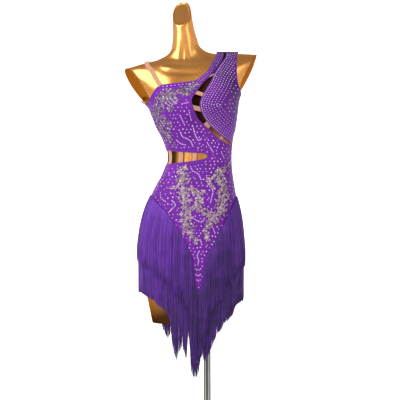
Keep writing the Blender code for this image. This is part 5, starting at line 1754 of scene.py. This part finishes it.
YOKE_PITCH, YOKE_LINES, YOKE_SPREAD = 0.0063, 8, 0.04
BAND_PITCH, BAND_LINES, BAND_STEP, BENT_STEP = 0.0062, 4, 0.0052, 0.0046
LOOSE_PITCH, YOKE_LOOSE_PITCH, BACK_PITCH = 0.0122, 0.0132, 0.0185
BAND_STONE, YOKE_STONE, ROW_STONE, LOOSE_YOKE_STONE = 0.0019, 0.0026, 0.0032, 0.0037
LOOSE_STONES, BACK_STONES = (0.0025, 0.0031, 0.0037), (0.0026, 0.0032, 0.0040)


def make_stones():
    """Rows beside the keyhole, along the strap and the edges and along the bent lines, a loose
    scatter between them, and a stone in the heart of each lace flower. Each list keeps its own
    margin to the cloth's edge, and its own distance to the stones and lace before it."""
    steps = np.arange(YOKE_LINES)
    yoke_rows = row_places(
        [beside(KEYHOLE_RIGHT, -0.0046 - k * YOKE_PITCH - 0.0002 * k * k) for k in steps],
        [0.0048, *(YOKE_PITCH * (1 + YOKE_SPREAD * k) for k in steps[:-1])])
    yoke_rows = within(OUTLINES["yoke"], yoke_rows, 0.0040)
    yoke_loose = within(OUTLINES["yoke"], scatter(YOKE_LOOSE_PITCH, 5), 0.006)
    yoke_loose = apart(yoke_loose, yoke_rows, 0.0085)
    band = row_places([beside(NECKLINE[3:], 0.0044 + k * BAND_PITCH) for k in range(BAND_LINES)],
                      [BAND_STEP] * BAND_LINES)
    band = within(OUTLINES["front"], band, 0.0036)
    edge = row_places([beside(CUTOUT_LOW, 0.008), beside(NECKLINE[:4], 0.0070)], [0.0125, 0.0105])
    edge = within(OUTLINES["front"], edge, 0.0055)
    bent = row_places([smooth_line(row) for row in BENT_ROWS], [BENT_STEP] * len(BENT_ROWS))
    bent = within(OUTLINES["front"], bent, 0.004)
    rows = np.concatenate([band, apart(edge, band, 0.0055)])
    rows = np.concatenate([rows, apart(bent, rows, 0.0040)])
    loose = within(OUTLINES["front"], scatter(LOOSE_PITCH, 8), 0.007)
    loose = apart(apart(loose, rows, 0.0070), LACE_PLACES, 0.0080)
    back = within(OUTLINES["back"], scatter(BACK_PITCH, 9), 0.009, False)
    rng = np.random.default_rng(6)
    front = np.concatenate([rows, loose])
    front_sizes = np.concatenate([
        np.full(len(band), BAND_STONE), np.full(len(rows) - len(band), ROW_STONE),
        rng.choice(LOOSE_STONES, len(loose))])
    yoke = np.concatenate([yoke_rows, yoke_loose])
    yoke_sizes = np.concatenate([
        np.full(len(yoke_rows), YOKE_STONE), np.full(len(yoke_loose), LOOSE_YOKE_STONE)])
    back_sizes = rng.choice(BACK_STONES, len(back))
    set_stones("stones_front", *front.T, front_sizes, True, FRONT_CREASES, CLOTH_WALL, 1)
    set_stones("stones_yoke", *yoke.T, yoke_sizes, True, YOKE_CREASES, CLOTH_WALL, 2)
    set_stones("stones_back", *back.T, back_sizes, False, BACK_CREASES, CLOTH_WALL, 3)
    set_stones("stones_lace", *FLOWERS[:, :2].T, FLOWERS[:, 2] * 0.70, True, FRONT_CREASES,
               LACE_LIFT + 0.0008, 4)


make_stones()

# %% [markdown]
# ## What is cut from cloth
# Three pieces are cut flat: a front, a shoulder piece and a back, each about a twentieth smaller
# than the figure so that it grips. The rolls, stitches, elastics, lace, stones and fringe are
# sewn or glued onto them.

# %% [markdown]
# ## Floor, light and camera
# A pale sweep keeps the eye on the dress: the floor runs out and curves up into a wall all
# round, so the object can be looked at from any side. Big soft lamps give the gold its broad
# highlights. The space overhead is dimmer and a little warm, because metal without something
# darker to reflect looks like chalk.

# %% The sweep
SWEEP_REACH, SWEEP_BEND, SWEEP_HEIGHT, SWEEP_SIDES = 6.5, 2.2, 4.5, 96
GLOW_AHEAD = (0.0218, 4.0, 0.0)


def sweep_paper():
    """Pale paper that is lit from within where it lies behind the object, by the square of how
    nearly straight behind it is for an eye four metres in front, and only far enough away. The
    lit part belongs to the room and stays there when the camera moves."""
    f = Finish("pale_sweep")
    place = f.place()
    paper = f.noise(place, 2.0, 2.0)
    flat = f.vector("MULTIPLY", place, (1.0, 1.0, 0.0))
    away = f.vector("LENGTH", flat, output="Value")
    towards = f.vector("NORMALIZE", f.vector("ADD", flat, GLOW_AHEAD))
    behind = f.vector("DOT_PRODUCT", towards, (0.0, 1.0, 0.0), output="Value")
    beam = f.fit(behind, 0.86, 0.988)
    glow = (beam * beam * 0.85 + 0.15) * f.fit(away, 1.4, 3.4, 0.12, 1.0)
    return f.shader(
        Base_Color=f.mix(paper, (0.86, 0.86, 0.865), (0.90, 0.90, 0.90)), Roughness=0.9,
        Emission_Color=f.mix(glow, (0.0, 0.0, 0.0), (1.0, 1.0, 1.0)), Emission_Strength=0.92)


def make_sweep():
    """A floor that turns up round its rim: radius and height follow a quarter circle, then rise."""
    finish = sweep_paper()
    arc, flat_reach = np.linspace(0, math.pi / 2, 17)[1:], SWEEP_REACH - SWEEP_BEND
    radius = np.concatenate([[0.01, 1.0, 2.5, flat_reach], flat_reach + SWEEP_BEND * np.sin(arc),
                             [SWEEP_REACH]])
    rise = np.concatenate([[0, 0, 0, 0], SWEEP_BEND - SWEEP_BEND * np.cos(arc), [SWEEP_HEIGHT]])
    net, faces = swept(radius, rise, SWEEP_SIDES)
    sweep = new_mesh("floor_sweep", net.reshape(-1, 3), faces.ravel(), np.arange(len(faces)) * 4)
    sweep.data.materials.append(finish)


make_sweep()

# %% Lamps, surroundings and camera
CAMERA_PLACE = (-0.0218, -4.0, 0.96)
CAMERA_LENS, CAMERA_SENSOR = 118.8, 36.0
SKY_STOPS = ((0.55, (0.68, 0.66, 0.64, 1.0)), (1.0, (0.40, 0.37, 0.34, 1.0)))


def add_lamp(name, place, aim, size, power):
    lamp = bpy.data.lights.new(name, "AREA")
    lamp.shape, lamp.size, lamp.size_y = "RECTANGLE", size[0], size[1]
    lamp.energy = power
    obj = bpy.data.objects.new(name, lamp)
    bpy.context.scene.collection.objects.link(obj)
    obj.location = place
    obj.rotation_euler = (Vector(aim) - Vector(place)).to_track_quat("-Z", "Y").to_euler()


add_lamp("key_lamp", (-1.42, -1.30, 2.30), (0.0, 0.0, 1.20), (1.35, 2.5), 46.0)
add_lamp("second_lamp", (0.98, -1.85, 2.30), (-0.05, 0.0, 1.25), (0.65, 1.9), 8.0)

world = bpy.data.worlds.new("studio")
world.use_nodes = True
sky = world.node_tree.nodes
direction, height = sky.new("ShaderNodeTexCoord"), sky.new("ShaderNodeSeparateXYZ")
ramp = sky.new("ShaderNodeValToRGB")
world.node_tree.links.new(direction.outputs["Generated"], height.inputs["Vector"])
world.node_tree.links.new(height.outputs["Z"], ramp.inputs["Fac"])
world.node_tree.links.new(ramp.outputs["Color"], sky["Background"].inputs["Color"])
for stop, (position, colour) in zip(ramp.color_ramp.elements, SKY_STOPS):
    stop.position, stop.color = position, colour
bpy.context.scene.world = world
bpy.context.scene.view_settings.view_transform = "Standard"

camera_data = bpy.data.cameras.new("camera")
camera_data.lens, camera_data.sensor_width = CAMERA_LENS, CAMERA_SENSOR
camera = bpy.data.objects.new("camera", camera_data)
bpy.context.scene.collection.objects.link(camera)
camera.location = CAMERA_PLACE
camera.rotation_euler = (math.pi / 2, 0.0, 0.0)
bpy.context.scene.camera = camera
print("camera at", CAMERA_PLACE, "lens", CAMERA_LENS)

# %% [markdown]
